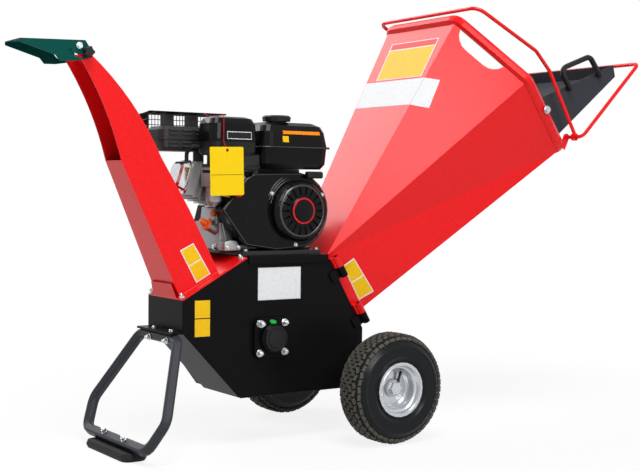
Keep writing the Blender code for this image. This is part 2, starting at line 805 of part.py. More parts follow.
def make_rotor_parts():
    start = ROTOR - BACK * (BEARING_BOSS_Y - BEARING_CAP - RUNNING_GAP)
    end = ROTOR + BACK * (PULLEY_Y + PULLEY_WIDTH / 2)
    shaft = store("rotor_shaft", cylinder("rotor_shaft", start, end, ROTOR_SHAFT_RADIUS), machined_steel())
    pivot_at(smooth(shaft), ROTOR)
    half = ROTOR_WIDTH / 2
    bore = ROTOR_SHAFT_RADIUS + SEAT_GAP
    edge = ROTOR_WIDTH * 0.02
    profile = [(bore, half), (ROTOR_RADIUS - edge, half), (ROTOR_RADIUS, half - edge), (ROTOR_RADIUS, -half + edge),
               (ROTOR_RADIUS - edge, -half), (bore, -half)]
    rotor = store("rotor", turned("rotor", profile, ROTOR, BACK, 40), black_paint())
    flat = ROTOR_RADIUS * 0.926
    for number, angle in enumerate((math.radians(20), math.radians(200)), 1):
        place = Matrix.Translation(ROTOR) @ Matrix.Rotation(angle, 4, "Y")
        low = (-ROTOR_RADIUS, -ROTOR_WIDTH, flat)
        cut(rotor, block(f"flat_{number}", low, (ROTOR_RADIUS, ROTOR_WIDTH, ROTOR_RADIUS * 1.2), place))
        low = (-KNIFE_WIDTH * 0.45, -half * 0.95, flat + SEAT_GAP)
        high = (KNIFE_WIDTH * 0.55, half * 0.95, flat + SEAT_GAP + KNIFE_THICKNESS)
        pivot_at(store(f"rotor_knife_{number}", block("knife", low, high, place), machined_steel()), ROTOR)
    pivot_at(smooth(rotor), ROTOR)
    reach = ROTOR_RADIUS + KNIFE_THICKNESS * 1.6
    half = HOUSING_HALF - HOUSING_PLATE - SEAT_GAP
    low = (ROTOR_X + reach, -half, ROTOR_Z - KNIFE_WIDTH * 0.4)
    high = (ROTOR_X + reach + KNIFE_WIDTH, half, ROTOR_Z - KNIFE_WIDTH * 0.2)
    store("bed_knife", block("bed_knife", low, high), machined_steel())


def make_stand():
    top_x = HOUSING_LEFT_X - STAND_LIP / 2
    lean = math.atan2(top_x - STAND_FOOT_X, HOUSING_LEFT_LOW_Z)
    half = STAND_TUBE * (0.5 * math.cos(lean) + (0.5 - CORNER_SHARE) * math.sin(lean))
    top_z = HOUSING_LEFT_LOW_Z - HOUSING_PLATE - SEAT_GAP - half
    low_z = FOOT_HEIGHT + SEAT_GAP + half
    slope = (STAND_FOOT_X - top_x) / (low_z - top_z)
    corners = [(STAND_TOP_HALF, top_z), (STAND_WIDE_HALF, STAND_WIDE_Z), (STAND_LOW_HALF, low_z)]
    ring = [(top_x + slope * (z - top_z), -y, z) for y, z in corners]
    ring += [(x, -y, z) for x, y, z in reversed(ring)]
    path = rounded_path(ring, STAND_BEND_RADIUS, 4, cyclic=True)
    leg = tube("stand_leg", path, 0, cyclic=True, square=STAND_TUBE)
    lowest = min(vert.co.z for vert in leg.vertices)
    highest = max(vert.co.z for vert in leg.vertices)
    floor = FOOT_HEIGHT + SEAT_GAP
    stretch = (HOUSING_LEFT_LOW_Z - HOUSING_PLATE - SEAT_GAP - floor) / (highest - lowest)
    leg.transform(Matrix.Translation(UP * floor) @ Matrix.Scale(stretch, 4, UP) @ Matrix.Translation(UP * -lowest))
    smooth(store("stand_leg", leg, grey_paint()), 40)
    levels = [(0, FOOT_LENGTH * 0.97, FOOT_WIDTH * 0.92), (FOOT_HEIGHT * 0.4, FOOT_LENGTH, FOOT_WIDTH),
              (FOOT_HEIGHT, FOOT_LENGTH * 0.97, FOOT_WIDTH * 0.9)]
    foot = stacked("stand_foot", levels, (0, 0), FOOT_WIDTH * 0.3)
    foot.transform(Matrix.Translation((STAND_FOOT_X, 0, 0)) @ Matrix.Rotation(math.pi / 2, 4, "Z"))
    smooth(store("stand_foot", foot, rubber()))


# Chute and deflector

def chute_stations():
    """Front edge, back edge and half width of the chute's outside, from its base to its tip."""
    base_front = chute_face(CHUTE_BASE_START, 0, SEAT_GAP + CHUTE_FLANGE / 2)
    base_back = chute_face(CHUTE_BASE_END, 0, SEAT_GAP + CHUTE_FLANGE / 2)
    knee_front = Vector((CHUTE_KNEE_X, 0, CHUTE_KNEE_Z))
    knee_back = Vector((CHUTE_KNEE_X + CHUTE_DEPTH, 0, CHUTE_KNEE_Z + CHUTE_DEPTH * 0.08))
    stations = []
    for share in (0, 0.2, 0.55, 0.8, 1):
        front = base_front.lerp(knee_front, share)
        back = base_back.lerp(knee_back, share) + Vector((0.006, 0, 0)) * math.sin(math.pi * share)
        stations.append((front, back, CHUTE_BASE_HALF + (CHUTE_TOP_HALF - CHUTE_BASE_HALF) * min(1, share * 1.05)))
    tip_front = (CHUTE_TIP_X - 0.0025, CHUTE_TIP_Z - 0.016)
    tip_back = (CHUTE_TIP_X + 0.024, CHUTE_TIP_Z - 0.0125)
    fronts = bulged((knee_front.x, knee_front.z), tip_front, 0.011)
    backs = bulged((knee_back.x, knee_back.z), tip_back, 0.016)
    for front, back in list(zip(fronts, backs))[1:]:
        stations.append((Vector((front.x, 0, front.y)), Vector((back.x, 0, back.y)), CHUTE_TOP_HALF))
    return stations


def make_chute():
    """One folded sheet: four walls up to the knee, then an open-fronted channel to the tip."""
    shape = bmesh.new()
    rows = []
    for front, back, half in chute_stations():
        places = (front - BACK * half, back - BACK * half, back + BACK * half, front + BACK * half)
        rows.append([shape.verts.new(place) for place in places])
    for number, (low, high) in enumerate(zip(rows, rows[1:])):
        for side in range(4 if number < 4 else 3):
            after = (side + 1) % 4
            shape.faces.new((low[side], low[after], high[after], high[side]))
    chute = store("chute", to_mesh(shape, "chute"), red_paint())
    thicken(chute, CHUTE_SHEET)
    place = frame(chute_face(0, 0, SEAT_GAP), CHUTE_ALONG, BACK)
    length = (HOUSING_TOP_Z - HOUSING_LEFT_TOP_Z) / math.sin(CHUTE_FACE_SLOPE)
    low = (0.001, -HOUSING_HALF, 0)
    flange = store("chute_flange", block("chute_flange", low, (length * 0.985, HOUSING_HALF, CHUTE_FLANGE), place),
                   None, cutter=True)
    half = CHUTE_BASE_HALF - CHUTE_SHEET
    low = (CHUTE_BASE_START + CHUTE_SHEET, -half, -CHUTE_FLANGE)
    high = (CHUTE_BASE_END - CHUTE_SHEET, half, CHUTE_FLANGE * 2)
    cut(flange, block("chute_flange_port", low, high, place))
    join(chute, evaluated(flange, "chute_flange"))
    for side in (-1, 1):
        low_y, high_y = sorted((side * CHUTE_TOP_HALF, side * (CHUTE_TOP_HALF - CHUTE_SHEET)))
        join(chute, side_plate(f"chute_ear_{side}", ear_outline(), low_y, high_y))
    reach = BACK * CHUTE_TOP_HALF * 1.5
    for number, place in enumerate((CHUTE_TIP, KNOB_PLACE)):
        cut(chute, cylinder(f"chute_pivot_{number}", place - reach, place + reach, PIVOT_BOLT_RADIUS + RUNNING_GAP, 12))
    return smooth(chute)


def ear_outline():
    """The side walls' upper ends: from the channel's edges round the deflector's pivot."""
    ring = CHUTE_TOP_HALF * 0.225
    points = [(CHUTE_TIP.x - 0.0005, CHUTE_TIP.z - 0.022), (CHUTE_TIP.x + 0.0225, CHUTE_TIP.z - 0.0165)]
    for step in range(9):
        angle = math.radians(-5 + 190 * step / 8)
        points.append((CHUTE_TIP.x + ring * math.cos(angle), CHUTE_TIP.z + ring * math.sin(angle)))
    points.append((CHUTE_TIP.x - 0.004, CHUTE_TIP.z - 0.016))
    return points


def make_deflector():
    tip = (CHUTE_TIP.x - DEFLECTOR_LENGTH + DEFLECTOR_REAR, CHUTE_TIP.z + DEFLECTOR_RISE - 0.006)
    rear = (CHUTE_TIP.x + DEFLECTOR_REAR, CHUTE_TIP.z + DEFLECTOR_RISE)
    low = CHUTE_TIP.z - DEFLECTOR_DROP
    points = [tip, (tip[0], tip[1] - 0.008), (CHUTE_TIP.x - 0.055, low + 0.012), (CHUTE_TIP.x - 0.045, low),
              (CHUTE_TIP.x - 0.018, low + 0.001), (CHUTE_TIP.x + 0.010, low + 0.006),
              (CHUTE_TIP.x + 0.028, CHUTE_TIP.z - 0.020), (CHUTE_TIP.x + 0.027, CHUTE_TIP.z - 0.006), rear]
    deflector = store("deflector", side_plate("deflector", points, -DEFLECTOR_HALF, DEFLECTOR_HALF), deflector_paint())
    inner = DEFLECTOR_HALF - DEFLECTOR_SHEET
    run = DEFLECTOR_LENGTH
    fall = (rear[1] - tip[1]) / (rear[0] - tip[0]) * run
    under = [(tip[0] - run, tip[1] - fall - DEFLECTOR_SHEET), (tip[0] - run, low - run), (rear[0] + run, low - run),
             (rear[0] + run, rear[1] + fall - DEFLECTOR_SHEET)]
    cut(deflector, side_plate("deflector_hollow", under, -inner, inner))
    cut(deflector, arc_slot())
    reach = BACK * DEFLECTOR_HALF * 1.5
    hole = PIVOT_BOLT_RADIUS + RUNNING_GAP
    cut(deflector, cylinder("deflector_pivot", CHUTE_TIP - reach, CHUTE_TIP + reach, hole, 12))
    pivot_at(smooth(deflector), CHUTE_TIP)
    grip = DEFLECTOR_HALF - CHUTE_TOP_HALF + CHUTE_SHEET + RUNNING_GAP
    for name, side in (("near", -1), ("far", 1)):
        seat = CHUTE_TIP + BACK * side * DEFLECTOR_HALF
        bolt(f"deflector_bolt_{name}", seat, BACK * side, grip, PIVOT_BOLT_RADIUS, PIVOT_BOLT_RADIUS * 2)


def arc_slot():
    """The curved slot that the clamping knob's screw runs in, through both flanges."""
    half = PIVOT_BOLT_RADIUS + RUNNING_GAP
    centre = CHUTE_TIP
    points = []
    for radius, order in ((SLOT_RADIUS + half, 1), (SLOT_RADIUS - half, -1)):
        steps = range(13)[::order]
        for step in steps:
            angle = math.radians(200 + (335 - 200) * step / 12)
            points.append((centre.x + radius * math.cos(angle), centre.z + radius * math.sin(angle)))
    return side_plate("arc_slot", points, -DEFLECTOR_HALF * 1.5, DEFLECTOR_HALF * 1.5)


def make_knob():
    seat = KNOB_PLACE - BACK * (DEFLECTOR_HALF + RUNNING_GAP)
    sections = []
    for height, share in ((0, 0.72), (KNOB_HEIGHT * 0.3, 0.95), (KNOB_HEIGHT * 0.8, 1), (KNOB_HEIGHT, 0.85)):
        ring = []
        for step in range(30):
            angle = math.tau * step / 30
            radius = KNOB_RADIUS * share * (0.88 + 0.12 * math.cos(angle * 5))
            ring.append(seat + Vector((radius * math.cos(angle), -height, radius * math.sin(angle))))
        sections.append(ring)
    knob = loft("deflector_knob", sections)
    reach = DEFLECTOR_HALF - CHUTE_TOP_HALF + CHUTE_SHEET * 2
    stem = cylinder("stem", seat - BACK * KNOB_HEIGHT / 2, seat + BACK * reach, PIVOT_BOLT_RADIUS, 12)
    obj = store("deflector_knob", knob, black_plastic())
    join(obj, stem)
    return pivot_at(smooth(obj, 40), KNOB_PLACE)


# Hopper

def hopper_sections():
    """Matching six-point outlines at the housing and at the mouth; the base folds onto four corners."""
    out = SEAT_GAP + HOPPER_FLANGE / 2
    inset_down = HOPPER_SHEET * 1.5
    base_rows = ((inset_down, BASE_HALF), (inset_down, BASE_HALF), (HOPPER_BASE - inset_down, BASE_HALF))
    base = [hopper_face(down, -half, out) for down, half in base_rows]
    base += [hopper_face(down, half, out) for down, half in reversed(base_rows)]
    depth = HOPPER_SHEET * 2 - RIM_RADIUS
    top = [mouth(down, -half, depth) for down, half in MOUTH_CORNERS]
    top += [mouth(down, half, depth) for down, half in reversed(MOUTH_CORNERS)]
    return base, top


def make_hopper():
    base, top = hopper_sections()
    hopper = store("hopper", loft("hopper", [base, top], caps=False), red_paint())
    thicken(hopper, HOPPER_SHEET)
    place = frame(hopper_face(0, 0, SEAT_GAP), FACE_DOWN, BACK)
    edge = HOUSING_HALF - HOUSING_PLATE * 0.75
    join(hopper, block("hopper_flange", (0, -edge, 0), (HOPPER_BASE, edge, HOPPER_FLANGE), place))
    for number, down in enumerate(HINGE_DOWN):
        join(hopper, knuckle(f"hopper_knuckle_{number}", down, 1))
    cut(hopper, feed_port("hopper_throat", HOPPER_FLANGE * 4))
    place = frame(MOUTH_TOP, MOUTH_DOWN, BACK)
    low = (-MOUTH_HEIGHT, -MOUTH_HEIGHT, -RIM_RADIUS - SEAT_GAP)
    cut(hopper, block("mouth_trim", low, (MOUTH_HEIGHT * 2, MOUTH_HEIGHT, RIM_RADIUS), place))
    for side in (-1, 1):
        cut(hopper, hand_hole(side))
    return pivot_at(smooth(hopper), HINGE_AXIS)


def hand_hole(side):
    """A long rounded notch next to the mouth, in one of the two upper slanting panels."""
    top = mouth(MOUTH_CORNERS[0][0], side * MOUTH_CORNERS[0][1], 0)
    waist = mouth(MOUTH_CORNERS[1][0], side * MOUTH_CORNERS[1][1], 0)
    base = hopper_face(0, side * BASE_HALF, 0)
    along = (waist - top).normalized()
    normal = along.cross(base - top).normalized()
    down = normal.cross(along)
    if down.dot(base - top) < 0:
        down = -down
    centre = top.lerp(waist, 0.40)
    place = Matrix.Translation(centre) @ Matrix((along, down, along.cross(down))).transposed().to_4x4()
    flat = section_points(HAND_HOLE_LENGTH, HAND_HOLE_DEPTH * 2, HAND_HOLE_DEPTH * 0.95, 5)
    return outline(f"hand_hole_{side}", flat, HAND_HOLE_DEPTH, place)


def make_rim():
    corners = [mouth(down, -half, 0) for down, half in MOUTH_CORNERS]
    corners += [mouth(down, half, 0) for down, half in reversed(MOUTH_CORNERS)]
    path = rounded_path(corners, RIM_RADIUS * 2, 3, cyclic=True)
    rim = store("hopper_rim", tube("hopper_rim", path, RIM_RADIUS, cyclic=True), red_paint())
    corner = mouth(MOUTH_HEIGHT, 0, 0)
    eye = BAIL_RADIUS * 2
    for side in (-1, 1):
        low_y, high_y = sorted((side * LUG_Y, side * (LUG_Y + LUG_THICKNESS)))
        points = [(corner.x + eye, corner.z - eye * 0.4), (BAIL_PIVOT.x + eye, BAIL_PIVOT.z)]
        for step in range(1, 7):
            angle = math.pi * step / 6
            points.append((BAIL_PIVOT.x + eye * math.cos(angle), BAIL_PIVOT.z + eye * math.sin(angle)))
        points.append((corner.x - eye, corner.z + eye * 0.4))
        join(rim, side_plate(f"bail_lug_{side}", points, low_y, high_y))
    reach = BACK * REAR_BAIL_HALF * 1.2
    cut(rim, cylinder("bail_bore", BAIL_PIVOT - reach, BAIL_PIVOT + reach, BAIL_RADIUS + RUNNING_GAP, 16))
    cut(rim, cylinder("tray_bore", TRAY_PIVOT - reach, TRAY_PIVOT + reach, TRAY_BOLT_RADIUS + RUNNING_GAP, 16))
    return pivot_at(smooth(rim, 50), HINGE_AXIS)


def make_upper_rail():
    """A thin rod over the mouth, its two ends closed into eyes round the rear bail's pivots."""
    side_points = [
        BAIL_PIVOT + Vector((0, 0, BAIL_RADIUS * 1.6)) - BACK * RAIL_EYE_Y,
        Vector((BAIL_PIVOT.x - 0.075, -RAIL_HALF, BAIL_PIVOT.z + 0.172)),
        Vector((BAIL_PIVOT.x - 0.126, -RAIL_HALF, BAIL_PIVOT.z + 0.222)),
        mouth(0, -RAIL_HALF, 0) + Vector((0.012, 0, 0.026)),
    ]
    other = [Vector((point.x, -point.y, point.z)) for point in reversed(side_points)]
    path = rounded_path(side_points + other, BAIL_RADIUS * 5, 3)
    rail = store("upper_rail", tube("upper_rail", path, BAIL_RADIUS), red_paint())
    half = BAIL_RADIUS
    for side in (-1, 1):
        centre = BAIL_PIVOT + BACK * side * RAIL_EYE_Y
        ring = cylinder(f"rail_eye_{side}", centre - BACK * half, centre + BACK * half, BAIL_RADIUS * 2, 16)
        join(rail, ring)
    reach = BACK * REAR_BAIL_HALF * 1.2
    cut(rail, cylinder("rail_bore", BAIL_PIVOT - reach, BAIL_PIVOT + reach, BAIL_RADIUS + RUNNING_GAP, 16))
    return pivot_at(smooth(rail, 50), HINGE_AXIS)


def make_rear_bail():
    run = Vector((math.cos(REAR_BAIL_SLOPE), 0, math.sin(REAR_BAIL_SLOPE))) * REAR_BAIL_REACH
    inner = LUG_Y - LUG_THICKNESS
    side_points = [BAIL_PIVOT - BACK * inner, BAIL_PIVOT - BACK * REAR_BAIL_HALF,
                   BAIL_PIVOT + run - BACK * REAR_BAIL_HALF]
    other = [Vector((point.x, -point.y, point.z)) for point in reversed(side_points)]
    path = rounded_path(side_points + other, BAIL_RADIUS * 3, 3)
    bail = store("rear_bail", tube("rear_bail", path, BAIL_RADIUS), red_paint())
    return pivot_at(smooth(bail, 50), BAIL_PIVOT)


# Feed tray

def tray_point(along, up):
    return TRAY_START + TRAY_ALONG * along + TRAY_UP * up


def make_tray():
    tip = tray_point(TRAY_LENGTH, 0)
    lip = tip + Vector((-TRAY_LIP * 0.25, 0, TRAY_LIP * 0.97))
    crest = TRAY_PIVOT + Vector((0.0385, 0, 0.037))
    points = [(TRAY_START.x, TRAY_START.z), (tip.x, tip.z), (lip.x, lip.z), (crest.x, crest.z)]
    for step in range(7):
        angle = math.radians(125 + 130 * step / 6)
        points.append((TRAY_PIVOT.x + TRAY_EAR_RADIUS * math.cos(angle),
                       TRAY_PIVOT.z + TRAY_EAR_RADIUS * math.sin(angle)))
    tray = store("feed_tray", side_plate("feed_tray", points, -TRAY_HALF, TRAY_HALF), grey_paint())
    low = tray_point(-TRAY_LENGTH, TRAY_SHEET)
    bend = tray_point(TRAY_LENGTH - TRAY_SHEET * 1.3, TRAY_SHEET)
    top = bend + (lip - tip) * 3
    hollow = [(low.x, low.z), (bend.x, bend.z), (top.x, top.z), (low.x, top.z + TRAY_LENGTH)]
    inner = TRAY_HALF - TRAY_SHEET
    cut(tray, side_plate("tray_hollow", hollow, -inner, inner))
    reach = BACK * TRAY_HALF * 1.5
    hole = TRAY_BOLT_RADIUS + RUNNING_GAP
    cut(tray, cylinder("tray_pivot", TRAY_PIVOT - reach, TRAY_PIVOT + reach, hole, 16))
    pivot_at(smooth(tray), TRAY_PIVOT)
    edge = (lip - crest).normalized()
    rise = Vector((-edge.z, 0, edge.x))
    y = -TRAY_HALF - HANDLE_RADIUS - SEAT_GAP
    start = crest + edge * HANDLE_START - rise * HANDLE_RADIUS * 1.6 + BACK * y
    end = start + edge * HANDLE_SPAN
    lean = rise * HANDLE_RISE - edge * HANDLE_SPAN * 0.18
    path = rounded_path([start, start + lean, end + lean, end], HANDLE_RADIUS * 2.4, 5)
    handle = store("tray_handle", tube("tray_handle", path, HANDLE_RADIUS), black_plastic())
    pivot_at(smooth(handle, 50), TRAY_PIVOT)


def rim_side(down):
    """How far the rim's centre line stands from the middle at a place below its waist."""
    share = (down - MOUTH_CORNERS[1][0]) / (MOUTH_CORNERS[2][0] - MOUTH_CORNERS[1][0])
    return MOUTH_CORNERS[1][1] + (MOUTH_CORNERS[2][1] - MOUTH_CORNERS[1][1]) * share


def make_tray_bolts():
    """Each tray pivot is a bolt through the rim and the tray's cheek, its head outside."""
    outer = rim_side(TRAY_PIVOT_DOWN) + RIM_RADIUS * 1.22
    grip = outer - TRAY_HALF + TRAY_SHEET * 3
    for name, side in (("near", -1), ("far", 1)):
        seat = TRAY_PIVOT + BACK * side * outer
        pivot_at(bolt(f"tray_bolt_{name}", seat, BACK * side, grip, TRAY_BOLT_RADIUS, BOLT_HEAD_RADIUS), HINGE_AXIS)


# Wheels

def make_wheel(name, side):
    centre = Vector((0, side * WHEEL_Y, AXLE_Z))
    half = TYRE_WIDTH / 2
    bead = half * 0.85
    shoulder = WHEEL_RADIUS * 0.93
    profile = [(BEAD_RADIUS, bead), (BEAD_RADIUS * 1.12, bead), (WHEEL_RADIUS * 0.72, half),
               (WHEEL_RADIUS * 0.84, half * 0.98), (shoulder, half * 0.86), (WHEEL_RADIUS * 0.985, half * 0.55),
               (WHEEL_RADIUS, 0)]
    profile += [(radius, -height) for radius, height in profile[-2::-1]]
    tyre = store("tyre_" + name, turned("tyre", profile, centre, BACK * side, 36), rubber())
    pivot_at(smooth(tyre), centre)
    barrel = BEAD_RADIUS - SEAT_GAP
    inner = barrel - RIM_SHEET
    flange = BEAD_RADIUS * 1.05
    edge = bead + SEAT_GAP
    lip = edge + RIM_SHEET
    web = RIM_SHEET * 0.6
    bore = AXLE_RADIUS + RUNNING_GAP
    profile = [(bore, -HUB_INNER), (HUB_RADIUS, -HUB_INNER), (HUB_RADIUS, -web), (inner, -web), (inner, -lip),
               (flange, -lip), (flange, -edge), (barrel, -edge), (barrel, edge), (flange, edge), (flange, lip),
               (inner, lip), (inner, web), (HUB_RADIUS, web), (HUB_RADIUS, HUB_OUTER), (bore, HUB_OUTER)]
    rim = store("rim_" + name, turned("rim", profile, centre, BACK * side, 24), silver_paint())
    pivot_at(smooth(rim), centre)


def make_axle():
    end = WHEEL_Y + HUB_OUTER
    sleeve = HOUSING_HALF + RUNNING_GAP
    stop = WHEEL_Y - HUB_INNER - RUNNING_GAP
    wide = AXLE_RADIUS * 1.5
    half = [(0, end), (AXLE_RADIUS, end), (AXLE_RADIUS, stop), (wide, stop), (wide, sleeve), (AXLE_RADIUS, sleeve)]
    profile = half + [(radius, -height) for radius, height in reversed(half)]
    smooth(store("axle", turned("axle", profile, (0, 0, AXLE_Z), BACK, 24), zinc()))
    thin = AXLE_RADIUS * 0.2
    wide = HUB_RADIUS * 0.9
    across = HUB_RADIUS * 0.82
    for name, side in (("near", -1), ("far", 1)):
        seat = Vector((0, side * (WHEEL_Y + HUB_OUTER + RUNNING_GAP), AXLE_Z))
        top = AXLE_END * 0.7
        hexagon = [(0, thin / 2), (across, thin / 2), (across, top), (0, top)]
        nut = store(f"axle_nut_{name}", turned("nut", hexagon, seat, BACK * side, 6), zinc())
        washer = [(0, 0), (wide, 0), (wide, thin), (0, thin)]
        join(nut, turned(f"axle_washer_{name}", washer, seat, BACK * side, 24))
        smooth(nut)


# Belt drive

def belt_outline(offset, steps=12):
    """The line round both pulleys, standing off their grooves by offset; X, Z points."""
    span = CRANK - ROTOR
    low_radius = ROTOR_PULLEY_RADIUS - BELT_HEIGHT + offset
    high_radius = CRANK_PULLEY_RADIUS - BELT_HEIGHT + offset
    heading = math.atan2(span.z, span.x)
    spread = math.acos((low_radius - high_radius) / span.length)
    points = []
    for step in range(steps + 1):
        angle = heading + spread + (math.tau - 2 * spread) * step / steps
        points.append((ROTOR.x + low_radius * math.cos(angle), ROTOR.z + low_radius * math.sin(angle)))
    for step in range(steps + 1):
        angle = heading - spread + 2 * spread * step / steps
        points.append((CRANK.x + high_radius * math.cos(angle), CRANK.z + high_radius * math.sin(angle)))
    return points


def make_belts():
    for name, side in (("near", -1), ("far", 1)):
        middle = PULLEY_Y + side * PULLEY_WIDTH / 4
        low_y, high_y = middle - BELT_WIDTH / 2, middle + BELT_WIDTH / 2
        loop = side_plate("belt", belt_outline(BELT_HEIGHT), low_y, high_y)
        belt = store(f"drive_belt_{name}", loop, rubber())
        cut(belt, side_plate("belt_inside", belt_outline(BELT_CLEARANCE), low_y - BELT_WIDTH, high_y + BELT_WIDTH))
        smooth(belt)


def make_pulley(name, centre, radius, shaft):
    """A two-groove pulley."""
    half = PULLEY_WIDTH / 2
    bottom = radius - BELT_HEIGHT
    groove = BELT_WIDTH / 2 + RUNNING_GAP
    profile = [(shaft + SEAT_GAP, -half), (radius, -half)]
    for middle in (-half / 2, half / 2):
        profile += [(radius, middle - groove), (bottom, middle - groove), (bottom, middle + groove),
                    (radius, middle + groove)]
    profile += [(radius, half), (shaft + SEAT_GAP, half)]
    pulley = store(name, turned(name, profile, centre + BACK * PULLEY_Y, BACK, 24), machined_steel())
    return pivot_at(smooth(pulley), centre)


def guard_outline():
    """The belt guard's side in X and Z, anticlockwise, following the belts' run."""
    return [(ROTOR_X - 0.115, ROTOR_Z - 0.058), (ROTOR_X - 0.052, ROTOR_Z - 0.142),
            (ROTOR_X + 0.060, ROTOR_Z - 0.142), (ROTOR_X + 0.120, ROTOR_Z - 0.070),
            (CRANK_X + 0.075, CRANK_Z - 0.072), (CRANK_X + 0.075, CRANK_Z + 0.028),
            (CRANK_X + 0.040, CRANK_Z + 0.072), (CRANK_X - 0.090, CRANK_Z + 0.072),
            (CRANK_X - 0.140, CRANK_Z + 0.008), (CRANK_X - 0.160, CRANK_Z - 0.062),
            (ROTOR_X - 0.115, ROTOR_Z + 0.047)]


def make_belt_guard():
    points = guard_outline()
    far = GUARD_PLATE_Y + GUARD_SHEET
    plate = store("belt_guard_plate", side_plate("guard_plate", points, GUARD_PLATE_Y, far), black_paint())
    reach = BACK * far * 2
    for number, (centre, radius) in enumerate(((ROTOR, ROTOR_SHAFT_RADIUS), (CRANK, CRANK_RADIUS))):
        cut(plate, cylinder(f"plate_hole_{number}", centre, centre + reach, radius * 1.4))
    low = far + SEAT_GAP
    cover = store("belt_guard_cover", side_plate("cover", points, low, low + BELT_GUARD_DEPTH), black_paint())
    rounded_edges(cover, BELT_GUARD_DEPTH * 0.12, 2, 60)
    inner = low + BELT_GUARD_DEPTH - GUARD_SHEET
    cut(cover, side_plate("guard_hollow", inset(points, GUARD_SHEET * 1.5), low - GUARD_SHEET, inner))
    smooth(cover)


# Engine

def make_crankcase():
    base = DECK_Z + SEAT_GAP
    foot = CRANK_HEIGHT * 0.09
    low = (CRANK_X - 0.102, CASE_FRONT_Y, base + foot * 0.3)
    high = (CRANK_X + 0.073, CASE_BACK_Y, CRANK_Z + 0.070)
    case = store("crankcase", block("crankcase", low, high), cast_aluminium())
    rounded_edges(case, CASE_ROUND, 3)
    low = (CRANK_X - 0.150, CASE_FRONT_Y - 0.044, base)
    join(case, block("case_foot", low, (CRANK_X + 0.071, CASE_BACK_Y + 0.008, base + foot)))
    low = (CRANK_X - 0.188, CASE_FRONT_Y + 0.004, base + foot * 0.5)
    join(case, block("case_sump", low, (CRANK_X - 0.09, CASE_BACK_Y - 0.010, CRANK_Z - 0.028)))
    neck = Vector((CRANK_X - 0.180, OIL_Y, CRANK_Z - 0.048))
    join(case, cylinder("filler_neck", neck, neck + OIL_OUT * 0.030, OIL_RADIUS))
    place = frame(CRANK + BACK * CYLINDER_Y, CYLINDER_OUT, CYLINDER_UP)
    half = CYLINDER_HALF * 0.72
    join(case, block("barrel", (0.06, -half, -half), (CYLINDER_START, half, half), place))
    depth = GUARD_PLATE_Y - SEAT_GAP - CASE_BACK_Y + CASE_ROUND * 1.5
    profile = [(0, depth), (0.062, depth), (0.070, depth - 0.006), (0.070, 0), (0, 0)]
    side = turned("case_cover", profile, CRANK + BACK * (CASE_BACK_Y - CASE_ROUND * 1.5), BACK, 28)
    join(case, side)
    for number, y in enumerate((CASE_FRONT_Y + 0.030, CASE_BACK_Y - 0.030)):
        low = (TANK_X - 0.060, y - 0.010, CRANK_Z + 0.060)
        join(case, block(f"tank_post_{number}", low, (TANK_X + 0.060, y + 0.010, TANK_BASE_Z - SEAT_GAP)))
    reach = BACK * CASE_BACK_Y * 2
    cut(case, cylinder("crank_bore", CRANK - reach, CRANK + reach, CRANK_RADIUS + RUNNING_GAP))
    smooth(case)


def make_cylinder():
    """The finned barrel and head in one piece, and the pressed valve cover on its end."""
    place = frame(CRANK + BACK * CYLINDER_Y, CYLINDER_OUT, CYLINDER_UP)
    core = CYLINDER_HALF * 0.80
    start = CYLINDER_START + SEAT_GAP
    head = store("cylinder_head", block("core", (start, -core, -core), (start + CYLINDER_LENGTH, core, core), place),
                 cast_aluminium())
    pitch = (CYLINDER_LENGTH - FIN_THICKNESS) / (FIN_COUNT - 1)
    half = CYLINDER_HALF
    fins = [block("fin", (start + pitch * number, -half, -half),
                  (start + pitch * number + FIN_THICKNESS, half, half), place) for number in range(FIN_COUNT)]
    join(head, merged("fins", fins))
    end = start + CYLINDER_LENGTH
    join(head, block("head_block", (end - pitch, -half * 0.9, -half * 0.9), (end + 0.018, half * 0.9, half * 0.9), place))
    levels = ((0, 0.082, 0.074), (0.003, 0.082, 0.074), (0.0031, 0.072, 0.064), (0.018, 0.066, 0.058), (0.023, 0.052, 0.046))
    sections = []
    for out, height, width in levels:
        flat = section_points(height, width, width * 0.22, 3)
        sections.append([place @ Vector((end + 0.018 + SEAT_GAP + out, y, z)) for y, z in flat])
    smooth(store("valve_cover", loft("valve_cover", sections), zinc()), 40)


def shroud_outline():
    points = [(CRANK_X - 0.1445, CRANK_Z - 0.082)]
    points.append((CRANK_X - 0.060, CRANK_Z - 0.0955))
    for step in range(12):
        angle = math.radians(-88 + 160 * step / 11)
        points.append((CRANK_X + SHROUD_RADIUS * math.cos(angle), CRANK_Z + SHROUD_RADIUS * math.sin(angle)))
    points += [(CRANK_X + 0.005, CRANK_Z + 0.0935), (CRANK_X - 0.124, CRANK_Z + 0.0885),
               (CRANK_X - 0.146, CRANK_Z + 0.0765), (CRANK_X - 0.209, CRANK_Z + 0.002)]
    return points


